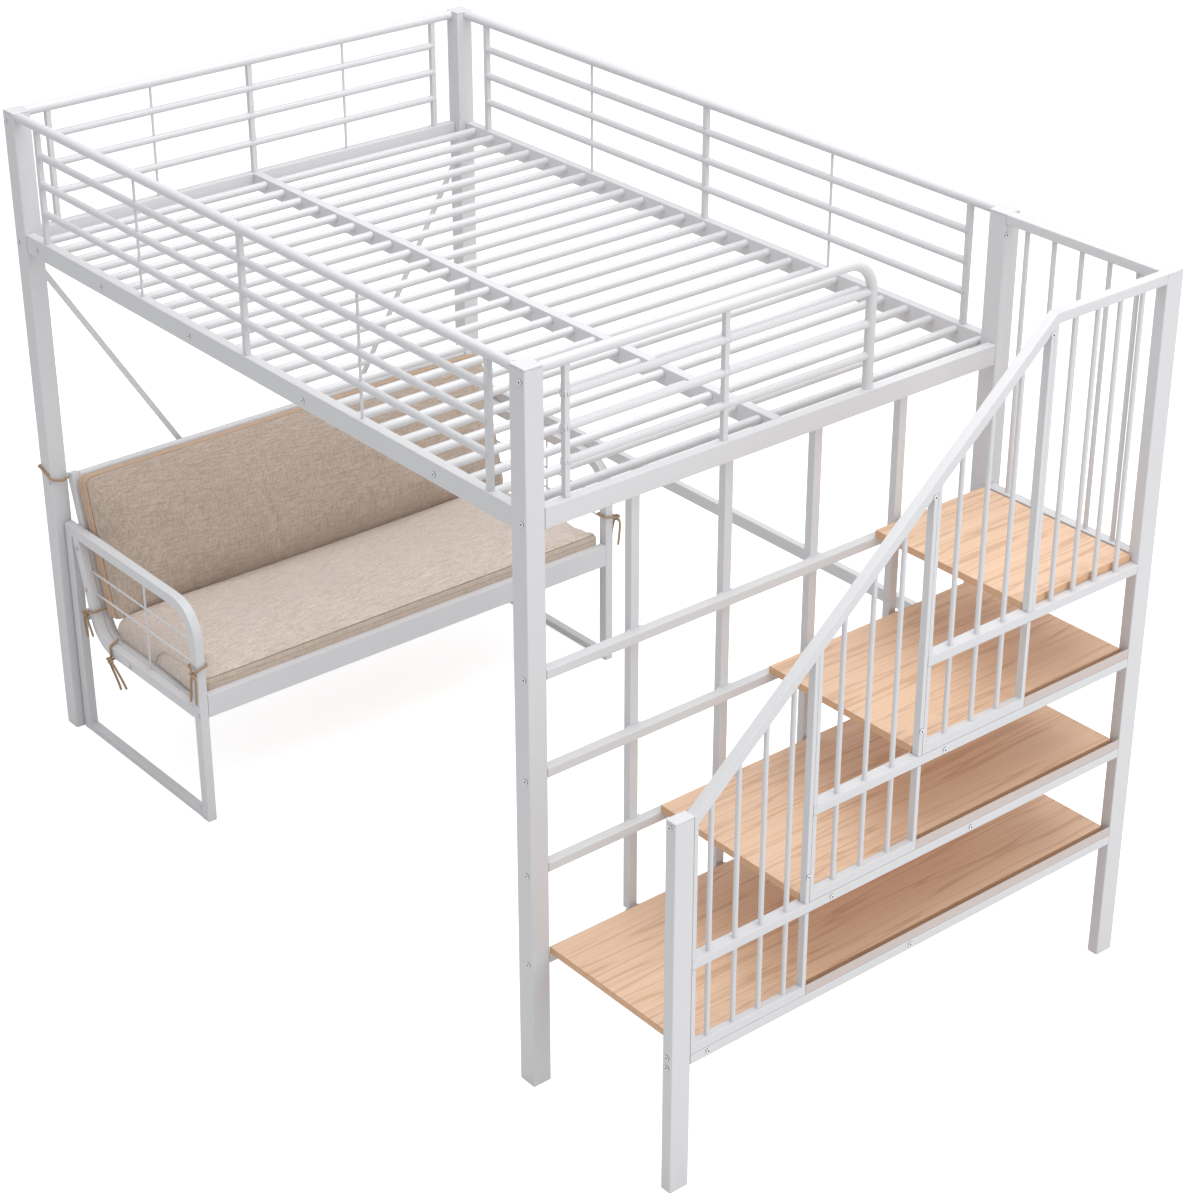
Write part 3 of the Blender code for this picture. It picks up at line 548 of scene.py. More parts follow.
def upright(x, y, foot):
    """A guard's square upright, from its foot to the top tube, with a weld round the foot."""
    half = upright_side / 2
    return [bar_between((x - half, y - half, foot), (x + half, y + half, guard_top), 2, slim_round),
            weld_ring((x, y, foot + weld_rise), (0, 0, 1), half * 1.02)]


def guard_shapes(node, axis, inset):
    """Bars, uprights and rods of a straight guard along an axis. Only the top bar reaches the posts."""
    low, high = corners(node)
    across, direction = np.eye(3)[1 - axis], np.eye(3)[axis]
    first, last = low[axis] + inset, high[axis] - inset
    middle = (first + last) / 2

    def spot(along, z):
        place = (low + high) / 2
        place[axis], place[2] = along, z
        return place

    shapes = [rod(top_tube, spot(low[axis], guard_top), spot(high[axis], guard_top), across)]
    for z in guard_heights:
        shapes.append(rod(guard_tube, spot(first, z), spot(last, z), across))
        shapes += [weld_ring(spot(u + s * upright_side / 2, z), direction, guard_tube / 2)
                   for u, s in ((first, 1), (middle, -1), (middle, 1), (last, -1))]
    for u in (first, middle, last):
        shapes += upright(*spot(u, low[2]))
    for u in ((first + middle) / 2, (middle + last) / 2):
        shapes.append(rod(rod_diameter, spot(u, low[2]), spot(u, guard_top), sides=12))
    return shapes


guards = {"guard_near": (0, long_inset), "guard_far": (0, long_inset), "guard_back": (1, back_inset)}
for node, place in guards.items():
    steel(node + "_tubes", guard_shapes(node, *place), [node])


def bent(stops, radius):
    """A line in space whose inner corners are arcs of a radius, tangent to both runs."""
    stops = [np.array(stop, float) for stop in stops]
    points = [stops[0]]
    for before, corner, after in zip(stops, stops[1:], stops[2:]):
        way_in, way_out = unit(corner - before), unit(after - corner)
        angle = math.acos(np.clip(way_in @ way_out, -1, 1))
        side = unit(way_out - way_in * (way_in @ way_out))
        centre = corner - way_in * radius * math.tan(angle / 2) + side * radius
        turn = np.linspace(0, angle, bend_steps + 1)[:, None]
        points += list(centre - side * radius * np.cos(turn) + way_in * radius * np.sin(turn))
    return np.array(points + [stops[-1]])


entry_low, entry_high = corners("guard_entry")
entry_x = (entry_low[0] + entry_high[0]) / 2
entry_end = entry_high[1] - top_tube / 2
entry_foot = entry_low[2]
entry_bend = 0.075
entry_ys = [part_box("post_a")[0].y + run for run in (0.117, 0.5506)]
entry_line = bent([(entry_x, entry_low[1], guard_top), (entry_x, entry_end, guard_top),
                   (entry_x, entry_end, entry_foot)], entry_bend)
shapes = [carried(round_outline(top_tube), entry_line, (1, 0, 0))]
weld_ys = [y + s * upright_side / 2 for y in entry_ys for s in (-1, 1)] + [entry_end - top_tube / 2]
for z in guard_heights:
    shapes.append(rod(guard_tube, (entry_x, entry_ys[0], z), (entry_x, entry_end, z)))
    shapes += [weld_ring((entry_x, y, z), (0, 1, 0), guard_tube / 2) for y in weld_ys]
for y in entry_ys:
    shapes += upright(entry_x, y, entry_foot)
shapes.append(weld_ring((entry_x, entry_end, entry_foot + weld_rise), (0, 0, 1), top_tube / 2))
steel("guard_entry_tubes", shapes, ["guard_entry"])

# Bed end: four square ledgers that carry the treads, and square bars welded behind them up to the deck
# beam. The long side rail, the rail behind the sofa and two flat braces stiffen the frame.
ledger_height = 0.024
ledger_width = 0.025
end_bar_width = 0.0235
end_bar_depth = 0.022
end_bar_lap = 0.003
end_bar_first = 0.3107
end_bar_pitch = 0.266
bead_diameter = 0.0045
bead_length = 0.008
tread_tops = [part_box("tread_rail_%d" % (i + 1))[1].z for i in range(4)]
grid_low, grid_high = corners("bed_end_grid")
ledger_back = grid_high[0] - ledger_width
bar_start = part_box("post_a")[0].y + end_bar_first - end_bar_width / 2
bar_edges = [(bar_start + end_bar_pitch * i, bar_start + end_bar_pitch * i + end_bar_width) for i in range(4)]
shapes = [bar_between((ledger_back, grid_low[1], z - ledger_height), (grid_high[0], grid_high[1], z), 1)
          for z in tread_tops]
for low_y, high_y in bar_edges:
    shapes.append(bar_between((grid_low[0], low_y, tread_tops[0] - end_bar_lap),
                              (grid_low[0] + end_bar_depth, high_y, grid_high[2]), 2, slim_round))
for edges in bar_edges:
    for z in tread_tops:
        for y, way in zip(edges, (-1, 1)):
            bead_end = (ledger_back, y + way * bead_length, z)
            shapes.append(rod(bead_diameter, (ledger_back, y, z), bead_end, sides=8, grow=[1, 0.5]))
steel("bed_end_tubes", shapes, ["bed_end_grid"])
steel("side_rail_tube", [straight("side_rail_far", 0)], ["side_rail_far"])
steel_bars(1, "frame_paint", "back_cross_rail")

# Stair: a low and a tall post, a square rail under the outer edge of each tread, and panels of round
# balusters between flat uprights. The handrail climbs from the low post to a mitre and runs level.
for node in ("stair_post_near", "stair_post_far"):
    capped(node)
steel_bars(1, "stair_paint", *("tread_rail_%d" % (i + 1) for i in range(4)))

panel_upright = 0.0113
panel_fit = 0.0004
panel_lap = 0.001
foot_rail_height = 0.025
baluster_diameter = 0.012
baluster_counts = (4, 3, 3, 4)
baluster_pitches = (0.0734, 0.0815, 0.0815, 0.0711)
baluster_shift = -0.003


def baluster(x, y, foot, top, weld_z):
    """A round baluster, with a weld round its foot."""
    return [rod(baluster_diameter, (x, y, foot), (x, y, top), sides=16),
            weld_ring((x, y, weld_z), (0, 0, 1), baluster_diameter / 2)]


def balusters(x, low_y, high_y, foot, tops, bay):
    """A bay's balusters at its pitch, about the middle between two planes."""
    count = baluster_counts[bay]
    middle = (low_y + high_y) / 2 + baluster_shift
    ys = [middle + (k - (count - 1) / 2) * baluster_pitches[bay] for k in range(count)]
    return [shape for y in ys for shape in baluster(x, y, foot, tops(y), foot)]


panels = [corners("stair_panel_%d" % (i + 1)) for i in range(3)]
for i, (low, high) in enumerate(panels):
    inner = (low[1] + panel_upright, high[1] - panel_upright)
    foot_top = low[2] + foot_rail_height
    shapes = [bar_between(low, (high[0], high[1], foot_top), 1)]
    for start, end in ((low[1], inner[0]), (inner[1], high[1])):
        shapes.append(bar_between((low[0], start, foot_top - panel_lap), (high[0], end, high[2]), 2,
                                  slim_round))
    shapes += balusters((low[0] + high[0]) / 2, *inner, foot_top - panel_lap / 2, lambda y: high[2], i)
    steel("stair_panel_%d_tubes" % (i + 1), shapes, ["stair_panel_%d" % (i + 1)])

rail_side = 0.025
rail_drop = 0.006
mitre_shift = 0.0075
hand_low, hand_high = corners("stair_handrail")
hand_x = hand_high[0] - rail_side / 2
level_z = hand_high[2] - rail_side / 2
start_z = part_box("stair_post_near")[1].z - rail_drop - rail_side / 2
bend_y = panels[2][1][1] + mitre_shift
steepness = (level_z - start_z) / (bend_y - hand_low[1])
hand_line = [(hand_x, hand_low[1], start_z), (hand_x, bend_y, level_z), (hand_x, hand_high[1], level_z)]
hand_shapes = [carried(tube_outline(rail_side, rail_side, steel_round), hand_line, (1, 0, 0))]
start_ring = hand_shapes[0][0][:4 * (corner_steps + 1)]
start_ring[:, 2] += (hand_low[1] - start_ring[:, 1]) * steepness
start_ring[:, 1] = hand_low[1]


def under_rail(y):
    """Height of the handrail's centre line over a place along the stair."""
    return min(level_z, level_z - (bend_y - y) * steepness)


panel_low_x, panel_high_x = panels[0][0][0], panels[0][1][0] - panel_fit
bays = [(low[1], high[1]) for low, high in panels] + [(panels[2][1][1], hand_high[1])]
for i, (low_y, high_y) in enumerate(bays):
    landing = i == 3
    foot = tread_tops[min(i + 1, 3)] + panel_fit
    inner = (low_y + panel_upright, high_y if landing else high_y - panel_upright)
    uprights = [(low_y, inner[0])] + ([] if landing else [(inner[1], high_y)])
    for start, end in uprights:
        top = under_rail((start + end) / 2)
        hand_shapes.append(bar_between((panel_low_x, start, foot), (panel_high_x, end, top), 2, slim_round))
    hand_shapes += balusters((panel_low_x + panel_high_x) / 2, *inner, foot, under_rail, i)
steel("stair_handrail_tubes", hand_shapes, ["stair_handrail"])

# Landing guard: an upper and a lower rail between the bed's far post and the tall stair post, with round
# balusters between them and a small clip under the upper rail.
landing_low, landing_high = corners("landing_guard")
landing_rail = 0.024
landing_first = 0.0625
landing_pitch = 0.0808
landing_weld = 0.0002
clip_xs = (2.495, 2.513)
clip_half = 0.008
clip_drop = 0.014
clip_round = 0.003
landing_y = (landing_low[1] + landing_high[1]) / 2
foot_top = landing_low[2] + landing_rail
rail_foot = landing_high[2] - landing_rail
shapes = [bar_between((landing_low[0], landing_low[1], rail_foot), landing_high, 0),
          bar_between(landing_low, (landing_high[0], landing_high[1], foot_top), 0)]
for i in range(5):
    shapes += baluster(landing_high[0] - landing_first - landing_pitch * i, landing_y, foot_top - panel_lap,
                       rail_foot + landing_rail / 2, foot_top + landing_weld)
clip_top = rail_foot + panel_lap
shapes.append(bar_between((corner_x + clip_xs[0], landing_y - clip_half, clip_top - clip_drop),
                          (corner_x + clip_xs[1], landing_y + clip_half, clip_top), 2, clip_round))
steel("landing_guard_tubes", shapes, ["landing_guard"])

# Lips: beyond each panel the tread rail has a thin upright lip along the board's outer edge, in a duller
# and warmer tone than the rail: painted shade with a painted warm reflection of the boards.
lip_height = 0.025
lip_thickness = 0.002
lip_round = 0.0006
lip_fit = 0.0006
# The lip's tone is painted shade with a painted warm reflection of the boards, on white paint.
lip_shaded_tone = (0.57, 0.495, 0.47)
lip_shaded_lighter = tuple(1.06 * part for part in lip_shaded_tone)
lip_shaded_finish = Finish("lip_shaded_paint", 0.42)
lip_shaded_finish.feed("Base Color", lip_shaded_finish.mix(lip_shaded_finish.noise(even, 3.0), lip_shaded_tone, lip_shaded_lighter))
for i in range(3):
    _, y, z = corners("tread_rail_%d" % (i + 1))[1]
    lip = bar_between((panel_high_x - lip_thickness, panels[i][1][1] + lip_fit, z + lip_fit),
                      (panel_high_x, y - lip_fit, z + lip_height), 1, lip_round)
    steel("tread_lip_%d" % (i + 1), [lip], [], lip_shaded_finish.material)

# Treads: boards with a light reddish wood foil, its grain along the board, and a matching edge band. The
# edges are eased only a little.
wood_light = (0.83, 0.605, 0.44)
wood_mid = (0.73, 0.455, 0.285)
wood_dark = (0.42, 0.195, 0.090)
edge_tone = (0.66, 0.38, 0.20)


def board_finish():
    """Wood foil: long streaks along the board that waver, with fine pores and a satin lacquer."""
    finish = Finish("board_foil", 0.42, Coat_Roughness=0.3)
    waver = finish.noise((1.0, 0.5, 1.0), 3.0, 2)
    wide = finish.noise((9.0, 0.5, 9.0), 2.2, 2)
    rings = ((wide * 38 + waver * 6).wave() * 0.5 + 0.5) ** 8
    fine = finish.noise((150, 1.2, 150), 1.0, 3, 0.6)
    pores = finish.noise((300, 2.2, 300), 1.0, 2)
    broad = finish.noise((5.0, 0.8, 5.0), 1.6, 2)
    tone = finish.mix(((fine - 0.5) * 2.2 + 0.5).clamped(), wood_mid, wood_light)
    tone = finish.mix(((pores - 0.58) * 5).clamped() * 0.22, tone, wood_dark)
    tone = finish.mix((broad * 0.4).clamped(), tone, wood_light)
    tone = finish.mix(rings * 0.36, tone, wood_dark)
    _, _, up = finish.split(finish.node("ShaderNodeNewGeometry", output="Normal"))
    edge = (1 - up * up).clamped()
    finish.feed("Base Color", finish.mix(edge * 0.7, tone, edge_tone))
    finish.feed("Roughness", fine * 0.14 + 0.36)
    finish.bump(fine * 0.6 + pores * 0.4, 0.00018, 0.5)
    return finish.material


board_foil = board_finish()
board_round = 0.0012
for i in range(4):
    node = "tread_%d" % (i + 1)
    steel(node + "_board", [straight(node, 1, board_round)], [node], board_foil)

# Sofa frame: each arm is a bent square tube with a flat foot bar and thin wires; an inner tube bends from
# the leaning back into the seat. The cushions' own side tubes, cross bars and rails stand between the arms.
arm_tube = 0.030
arm_depth = 0.026
arm_bend = 0.085
arm_fit = 0.0002
arm_lap = 0.003
foot_height = 0.020
wire_diameter = 0.0055
wire_heights = (0.519, 0.456)
wire_upright = corner_x + 0.422
back_lean = 0.266
head_height = 0.765
head_offset = 0.0654
head_tube = 0.025
half_tube = arm_tube / 2
seat_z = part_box("seat_bar_1")[1].z - half_tube


def back_line(height):
    """Centre of the leaning tubes at a height."""
    return corner_x + head_offset + (head_height - height) * back_lean


def sofa_bend(top, front, y, width):
    """The square tube that leans from a height down to the seat and runs forwards under it."""
    line = bent([(back_line(top), y, top), (back_line(seat_z), y, seat_z), (front, y, seat_z)], arm_bend)
    return carried(tube_outline(width, arm_tube, steel_round), line, (0, 1, 0))


for side_name, side in (("near", -1), ("far", 1)):
    node = "sofa_arm_" + side_name
    low, high = corners(node)
    y = (low[1] + high[1]) / 2
    top_z = high[2] - half_tube
    front_x = high[0] - half_tube
    loop = bent([(low[0] + half_tube, y, top_z), (front_x, y, top_z), (front_x, y, 0.0)], arm_bend)
    shapes = [carried(tube_outline(arm_depth, arm_tube, steel_round), loop, (0, 1, 0)),
              sofa_bend(top_z, front_x - half_tube + arm_lap, y, arm_depth - 3 * arm_fit),
              bar_between((low[0] + arm_fit, low[1] + arm_fit, 0),
                          (low[0] + arm_tube, high[1] - arm_fit, high[2] - 1.5 * arm_fit), 2),
              bar_between((low[0] + arm_tube - arm_lap, low[1] + 2 * arm_fit, 2 * arm_fit),
                          (high[0] - arm_tube + arm_lap, high[1] - 2 * arm_fit, foot_height), 0)]
    wire_y = y - side * (arm_depth / 2 - arm_lap - wire_diameter / 2)
    wires = [((back_line(z), wire_y, z), (front_x, wire_y, z)) for z in wire_heights]
    wires.append(((wire_upright, wire_y, seat_z), (wire_upright, wire_y, top_z)))
    shapes += [rod(wire_diameter, *ends, (0, 1, 0), 12) for ends in wires]
    steel(node + "_tubes", shapes, [node])

    node = "seat_tube_" + side_name
    low, high = corners(node)
    tube = sofa_bend(head_height + head_tube / 2, high[0], (low[1] + high[1]) / 2, high[1] - low[1])
    steel(node + "_tube", [tube], [node])

low, high = corners("sofa_head_rail")
head_x = (low[0] + high[0]) / 2
steel("sofa_head_rail_tube",
      [rod(head_tube, (head_x, low[1], head_height), (head_x, high[1], head_height), sides=28)],
      ["sofa_head_rail"])
steel_bars(1, "sofa_paint", "sofa_front_rail")

for node in ("brace_near", "brace_far", "seat_bar_1", "seat_bar_2", "seat_bar_3", "back_bar_1", "back_bar_2"):
    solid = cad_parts[node]
    solid.data.materials.clear()
    solid.data.materials.append(white_coat)

# Bolts: low domed heads with a hollow, where rails, arms and stair meet the posts. Each list is one face,
# square to x or y: the places of its heads along the face and up, from the near rear post's outer corner.
head_radius = 0.0064
head_rise = 0.0026
head_sides = 16
head_profile = [(1.0, -0.1), (1.0, 0.45), (0.86, 0.85), (0.62, 1.0), (0.44, 1.0), (0.42, 0.4),
                (0.0001, 0.4)]
head_light = (0.85, 0.85, 0.87)
# The dark head tone is painted shade, in the socket and under each head's rim.
head_painted_shade = (0.12, 0.12, 0.13)
post_face = 0.0
rail_face = 0.003
arm_face = 0.023
end_post_face = 2.109
far_post_face = 1.380
panel_face = panel_high_x - corner_x
tread_rail_face = 2.582
bolt_places = {
    (1, -1, rail_face): [(0.102, 1.43), (0.417, 1.43), (0.822, 1.43), (1.298, 1.43), (1.79, 1.43)],
    (1, -1, post_face): [(2.095, 1.746), (2.095, 1.431), (2.095, 1.065), (2.095, 0.814), (2.095, 0.572),
                         (2.095, 0.334), (0.013, 1.749), (0.013, 1.428), (0.0425, 0.756), (2.566, 0.934),
                         (2.566, 0.359), (2.566, 0.3325)],
    (1, -1, arm_face): [(0.1127, 0.579), (0.140, 0.465), (0.345, 0.317), (0.684, 0.354), (0.689, 0.320)],
    (1, -1, far_post_face): [(0.0202, 1.752)],
    (0, 1, end_post_face): [(1.388, 1.725)],
    (0, 1, panel_face): [(0.3795, 0.66), (0.7010, 0.898), (0.6975, 1.4585), (1.0205, 1.732)],
    (0, 1, tread_rail_face): [(0.1015, 0.338), (0.7075, 0.338), (0.4518, 0.579), (0.882, 0.579),
                              (0.778, 0.822)],
}


def bolt_finish():
    """Painted heads that catch the light, with painted shade in the socket and under the rim."""
    finish = Finish("bolt_head", 0.3)
    out, _, _ = finish.split(finish.place(kind="UV"))
    rim = ((out - 0.93) * 14).clamped()
    hollow = ((0.47 - out) * 14).clamped()
    finish.feed("Base Color", finish.mix((rim + hollow).clamped(), head_light, head_painted_shade))
    return finish.material


def bolt_shape(axis, way, face, first, height):
    """A head's profile turned round its axis, on a face square to x or y, with its UV."""
    turn = turns(head_sides)
    share, lift = np.array(head_profile).T[..., None]
    base = (corner_x, corner_y)
    places = np.empty((len(head_profile), head_sides, 3))
    places[..., axis] = base[axis] + face + way * lift * head_rise
    places[..., 1 - axis] = base[1 - axis] + first + head_radius * share * np.cos(turn)
    places[..., 2] = height + head_radius * share * np.sin(turn)
    uv = np.zeros((len(head_profile), head_sides, 2))
    uv[..., 0] = share
    return places.reshape(-1, 3), tube_faces(len(head_profile), head_sides), uv.reshape(-1, 2)


heads = [bolt_shape(*plane, *place) for plane, places in bolt_places.items() for place in places]
head_points, head_faces = joined([head[:2] for head in heads])
head_uv = np.vstack([head[2] for head in heads])
new_piece("bolt_heads", head_points, head_faces, bolt_finish(), (), head_uv, 50)

# Cushions: two long foam pads in linen covers, one on the seat bars and one against the back bars. The
# back pad is boxed by a side strip between two seams. The seat pad is boxed in front and rolls over at its
# ends. A cloth simulation blows each cover up, and the seams are then drawn in.
linen_back = (0.60, 0.485, 0.40)
linen_back_dark = (0.385, 0.30, 0.235)
linen_side = (0.66, 0.43, 0.275)
linen_seat = (0.82, 0.70, 0.62)
linen_seat_dark = (0.55, 0.455, 0.385)
linen_seat_side = (0.66, 0.54, 0.44)
# The seam tone also gives the painted shadow along the back pad's foot.
seam_and_shadow_tone = (0.16, 0.12, 0.09)
pad_step = 0.008
ring_points = 420
face_rings = 30
side_profile = [(0.009, 0.0), (0.0035, 0.16), (0.0008, 0.38), (0, 0.65), (0, 0.85)]
cover_cloth = {"quality": 6, "mass": 0.25, "tension_stiffness": 22, "compression_stiffness": 12,
               "shear_stiffness": 8, "bending_stiffness": 0.4, "shrink_min": -0.012, "use_pressure": True,
               "uniform_pressure_force": 4.0, "vertex_group_mass": "held"}
swell_cap = 0.010
swell_frames = 20
side_swell = 0.003
seam_reach = 0.0016
seam_cuts = (-1.5, -0.75, 0, 0.75, 1.5)
seam_draw = 0.0022
# The crevice width is that of the painted shadow along the back pad's foot.
crevice_shadow_width = 0.005
crease_width = 0.0036
foot_seam = 0.004
lean_angle = math.atan(back_lean)
seat_low, seat_high = corners("seat_cushion")
seat_reach = 0.015
seat_size = (seat_high[0] - seat_low[0] + seat_reach, seat_high[1] - seat_low[1])
seat_edge, seat_rear_edge, seat_crown = 0.0716, 0.068, 0.034
seat_nose, seat_end_roll, seat_front_roll, seat_rear_roll = 0.030, 0.034, 0.006, 0.022
seat_stitch = seat_edge - 0.016
back_size = (0.4045, seat_size[1] + 0.006)
back_edge, back_crown = 0.055, 0.052
back_stitch = back_edge - 0.017


def linen(name, light, dark, side, turn):
    """Linen weave: warp and weft slubs, lighter on the raised threads. The strip round the sides has its
    own tone, and the seams are dark lines that follow the pad's seam attribute, as is the painted shadow
    along the back pad's foot."""
    finish = Finish(name, 0.93, Sheen_Weight=0.25, Sheen_Roughness=0.6)
    warp = finish.noise((260, 260, 26), 1.0, 3, 0.6, turn)
    weft = finish.noise((260, 26, 260), 1.0, 3, 0.6, turn)
    fine = finish.noise((700, 700, 700), 1.0, 2)
    blotch = finish.noise(even, 9, 3)
    thread = ((warp + weft - 1.0) * 2.6 + (fine - 0.5) * 1.2 + 0.5).clamped()
    tone = finish.mix((thread * 0.8 + blotch * 0.2).clamped(), dark, light)
    strip, seam = (finish.node("ShaderNodeAttribute", {"attribute_name": label}, output="Fac")
                   for label in ("strip", "seam"))
    tone = finish.mix(strip, tone, finish.mix(thread, tuple(0.82 * part for part in side), side))
    finish.feed("Base Color", finish.mix((seam * 0.75).clamped(), tone, seam_and_shadow_tone))
    finish.bump(thread + fine * 0.4, 0.0009, 0.8)
    return finish.material


def ramp(value, start, width):
    """0 up to a start, and then a rise to 1 over a width."""
    return np.clip((value - start) / width, 0, 1)


def roll(distance, radius):
    """A quarter round: nothing at the border, and 1 from the radius on."""
    return np.sqrt(1 - (1 - np.clip(distance / radius, 0, 1)) ** 2)


def dome(x, y, size, power, across_power):
    """One less a power of the distance from the middle, along and across."""
    return (1 - np.abs(2 * x / size[0]) ** power) * (1 - np.abs(2 * y / size[1]) ** across_power)


def seat_height(x, y):
    """Face of the seat pad: a crown over edges that are higher in front, rolled at the rear and the ends."""
    depth, width = seat_size
    end_roll = seat_end_roll + (seat_front_roll - seat_end_roll) * ramp(x / depth, 0.30, 0.16)
    edge = seat_rear_edge + (seat_edge - seat_rear_edge) * (x / depth + 0.5)
    rise = edge + seat_crown * dome(x, y, seat_size, 3, 9) - seat_nose
    return seat_nose + rise * roll(width / 2 - np.abs(y), end_roll) * roll(x + depth / 2, seat_rear_roll)


def back_height(x, y):
    """Face of the back pad: a crown over an even boxed edge."""
    return back_edge + back_crown * np.maximum(dome(x, y, back_size, 4, 12), 0)


def spaced(outline, count):
    """The same closed outline with its points at even steps."""
    loop = np.vstack([outline, outline[:1]])
    run = np.concatenate(([0], np.cumsum(np.linalg.norm(np.diff(loop, axis=0), axis=1))))
    places = np.linspace(0, run[-1], count, endpoint=False)
    return np.stack([np.interp(places, run, loop[:, k]) for k in (0, 1)], 1)


def pad_start(size, height, corner):
    """A pad before it swells: rings of its rounded outline climb the side, which tucks in at the foot, and
    then close in over the face at the face's height."""
    rings = []
    reach = size[0] / 2 - 0.003
    for inset, share in side_profile + [(reach * t ** 1.7, 1) for t in np.linspace(0, 1, face_rings)]:
        outline = tube_outline(size[0] - 2 * inset, size[1] - 2 * inset, max(corner - inset, 0.0015))
        ring = spaced(outline, ring_points)
        rings.append(np.column_stack([ring, share * height(*ring.T)]))
    return np.vstack(rings), tube_faces(len(rings), ring_points)


def applied(piece):
    """The piece's mesh as its modifiers leave it, with no modifier left."""
    bpy.context.view_layer.update()
    seen = piece.evaluated_get(bpy.context.evaluated_depsgraph_get())
    mesh = bpy.data.meshes.new_from_object(seen)
    piece.modifiers.clear()
    old = piece.data
    piece.data = mesh
    bpy.data.meshes.remove(old)
    return mesh


def places_of(mesh):
    """A mesh's vertices as rows of x, y and z."""
    flat = np.empty(len(mesh.vertices) * 3)
    mesh.vertices.foreach_get("co", flat)
    return flat.reshape(-1, 3)


def swollen(piece, size, held):
    """Blows the cover up. Its seams and the face it lies on are held, and no point moves past a cap."""
    before = places_of(piece.data)
    piece.vertex_groups.new(name="held").add(np.flatnonzero(held).tolist(), 1.0, "REPLACE")
    cloth = piece.modifiers.new("cover", "CLOTH")
    for setting, value in cover_cloth.items():
        setattr(cloth.settings, setting, value)
    cloth.settings.effector_weights.gravity = 0
    cloth.point_cache.frame_start, cloth.point_cache.frame_end = 1, swell_frames
    for frame_number in range(1, swell_frames + 1):
        bpy.context.scene.frame_set(frame_number)
    after = places_of(applied(piece))
    bpy.context.scene.frame_set(1)
    move = after - before
    length = np.linalg.norm(move, axis=1)
    after = before + move * np.minimum(1, swell_cap / np.maximum(length, 1e-9))[:, None]
    limit = np.array(size) / 2 + side_swell
    after[:, :2] = np.clip(after[:, :2], -limit, limit)
    piece.data.vertices.foreach_set("co", after.ravel())
    piece.vertex_groups.clear()


def sewn(piece, levels, marks):
    """Cuts loops round each seam and draws in the marked lines. The marks give the seams, the painted
    shadow along the back pad's foot, and the side strip.
    """
    work = bmesh.new()
    work.from_mesh(piece.data)
    for height in levels:
        for step in seam_cuts:
            bmesh.ops.bisect_plane(work, geom=work.verts[:] + work.edges[:] + work.faces[:], dist=1e-6,
                                   plane_co=(0, 0, height + step * seam_reach), plane_no=(0, 0, 1))
    work.to_mesh(piece.data)
    work.free()
    mesh = piece.data
    points = places_of(mesh)
    line, strip = marks(points)
    normal = np.empty(len(points) * 3)
    mesh.vertices.foreach_get("normal", normal)
    points -= normal.reshape(-1, 3) * (line * seam_draw)[:, None]
    mesh.vertices.foreach_set("co", points.ravel())
    for label, values in (("seam", line), ("strip", strip)):
        mesh.attributes.new(label, "FLOAT", "POINT").data.foreach_set("value", values.astype(np.float32))


def seam_at(z, height):
    """How near a height is to a seam's, from 0 to 1."""
    return np.exp(-((z - height) / (seam_reach * 0.62)) ** 2)


def back_border(x, y):
    """How far a place lies outside the back pad's outline."""
    return np.maximum(np.abs(x) - back_size[0] / 2, np.abs(y) - back_size[1] / 2)


def back_marks(points):
    """Seams of the back pad at the front and the rear of its side strip, with a row of stitches between,
    and a painted shadow along its foot, where it stands on the seat."""
    x, y, z = points.T
    rim = ramp(back_border(x, y), -0.012, 0.006)
    line = rim * (seam_at(z, back_edge) + 0.5 * seam_at(z, back_stitch) + 0.6 * seam_at(z, foot_seam))
    # Painted shadow along the pad's foot, in the crevice where it stands on the seat.
    foot = ramp(crevice_shadow_width - back_size[0] / 2, x, 0.002) * ramp(z, back_edge - 0.016, 0.004)
    foot *= ramp(back_edge + 0.004, z, 0.002)
    return np.maximum(line, foot), rim * ramp(back_edge + 0.001, z, 0.002)


crease_route = [(-0.013, 0.0085), (-0.002, 0.020), (0.0, 0.0265), (0.008, 0.038), (0.0268, 0.052),
                (0.0678, 0.058), (0.1146, 0.0605), (0.190, 0.064)]
crease_start = corner_x + 0.4214 - (seat_low[0] - seat_reach + seat_high[0]) / 2


def seat_marks(points):
    """Seams of the seat pad: two along the boxed front, and a crease at each end, where the box's seam
    turns down to the foot."""
    x, y, z = points.T
    front = ramp(x, seat_size[0] / 2 - 0.014, 0.006)
    line = front * (seam_at(z, seat_edge) + 0.55 * seam_at(z, seat_stitch))
    ends = ramp(np.abs(y), seat_size[1] / 2 - 0.034, 0.010) * (1 - front)
    near = np.full(len(points), 1.0)
    for (ax, az), (bx, bz) in zip(crease_route, crease_route[1:]):
        run = np.array((bx - ax, bz - az))
        offset = np.stack([x - crease_start - ax, z - az], 1)
        share = np.clip(offset @ run / (run @ run), 0, 1)
        near = np.minimum(near, np.linalg.norm(offset - share[:, None] * run, axis=1))
    fade = np.clip(1.1 - (x - crease_start) / 0.06, 0.2, 1)
    line = line + 0.8 * ends * fade * np.exp(-(near / crease_width) ** 2)
    return line, front * ramp(seat_edge + 0.001, z, 0.002)


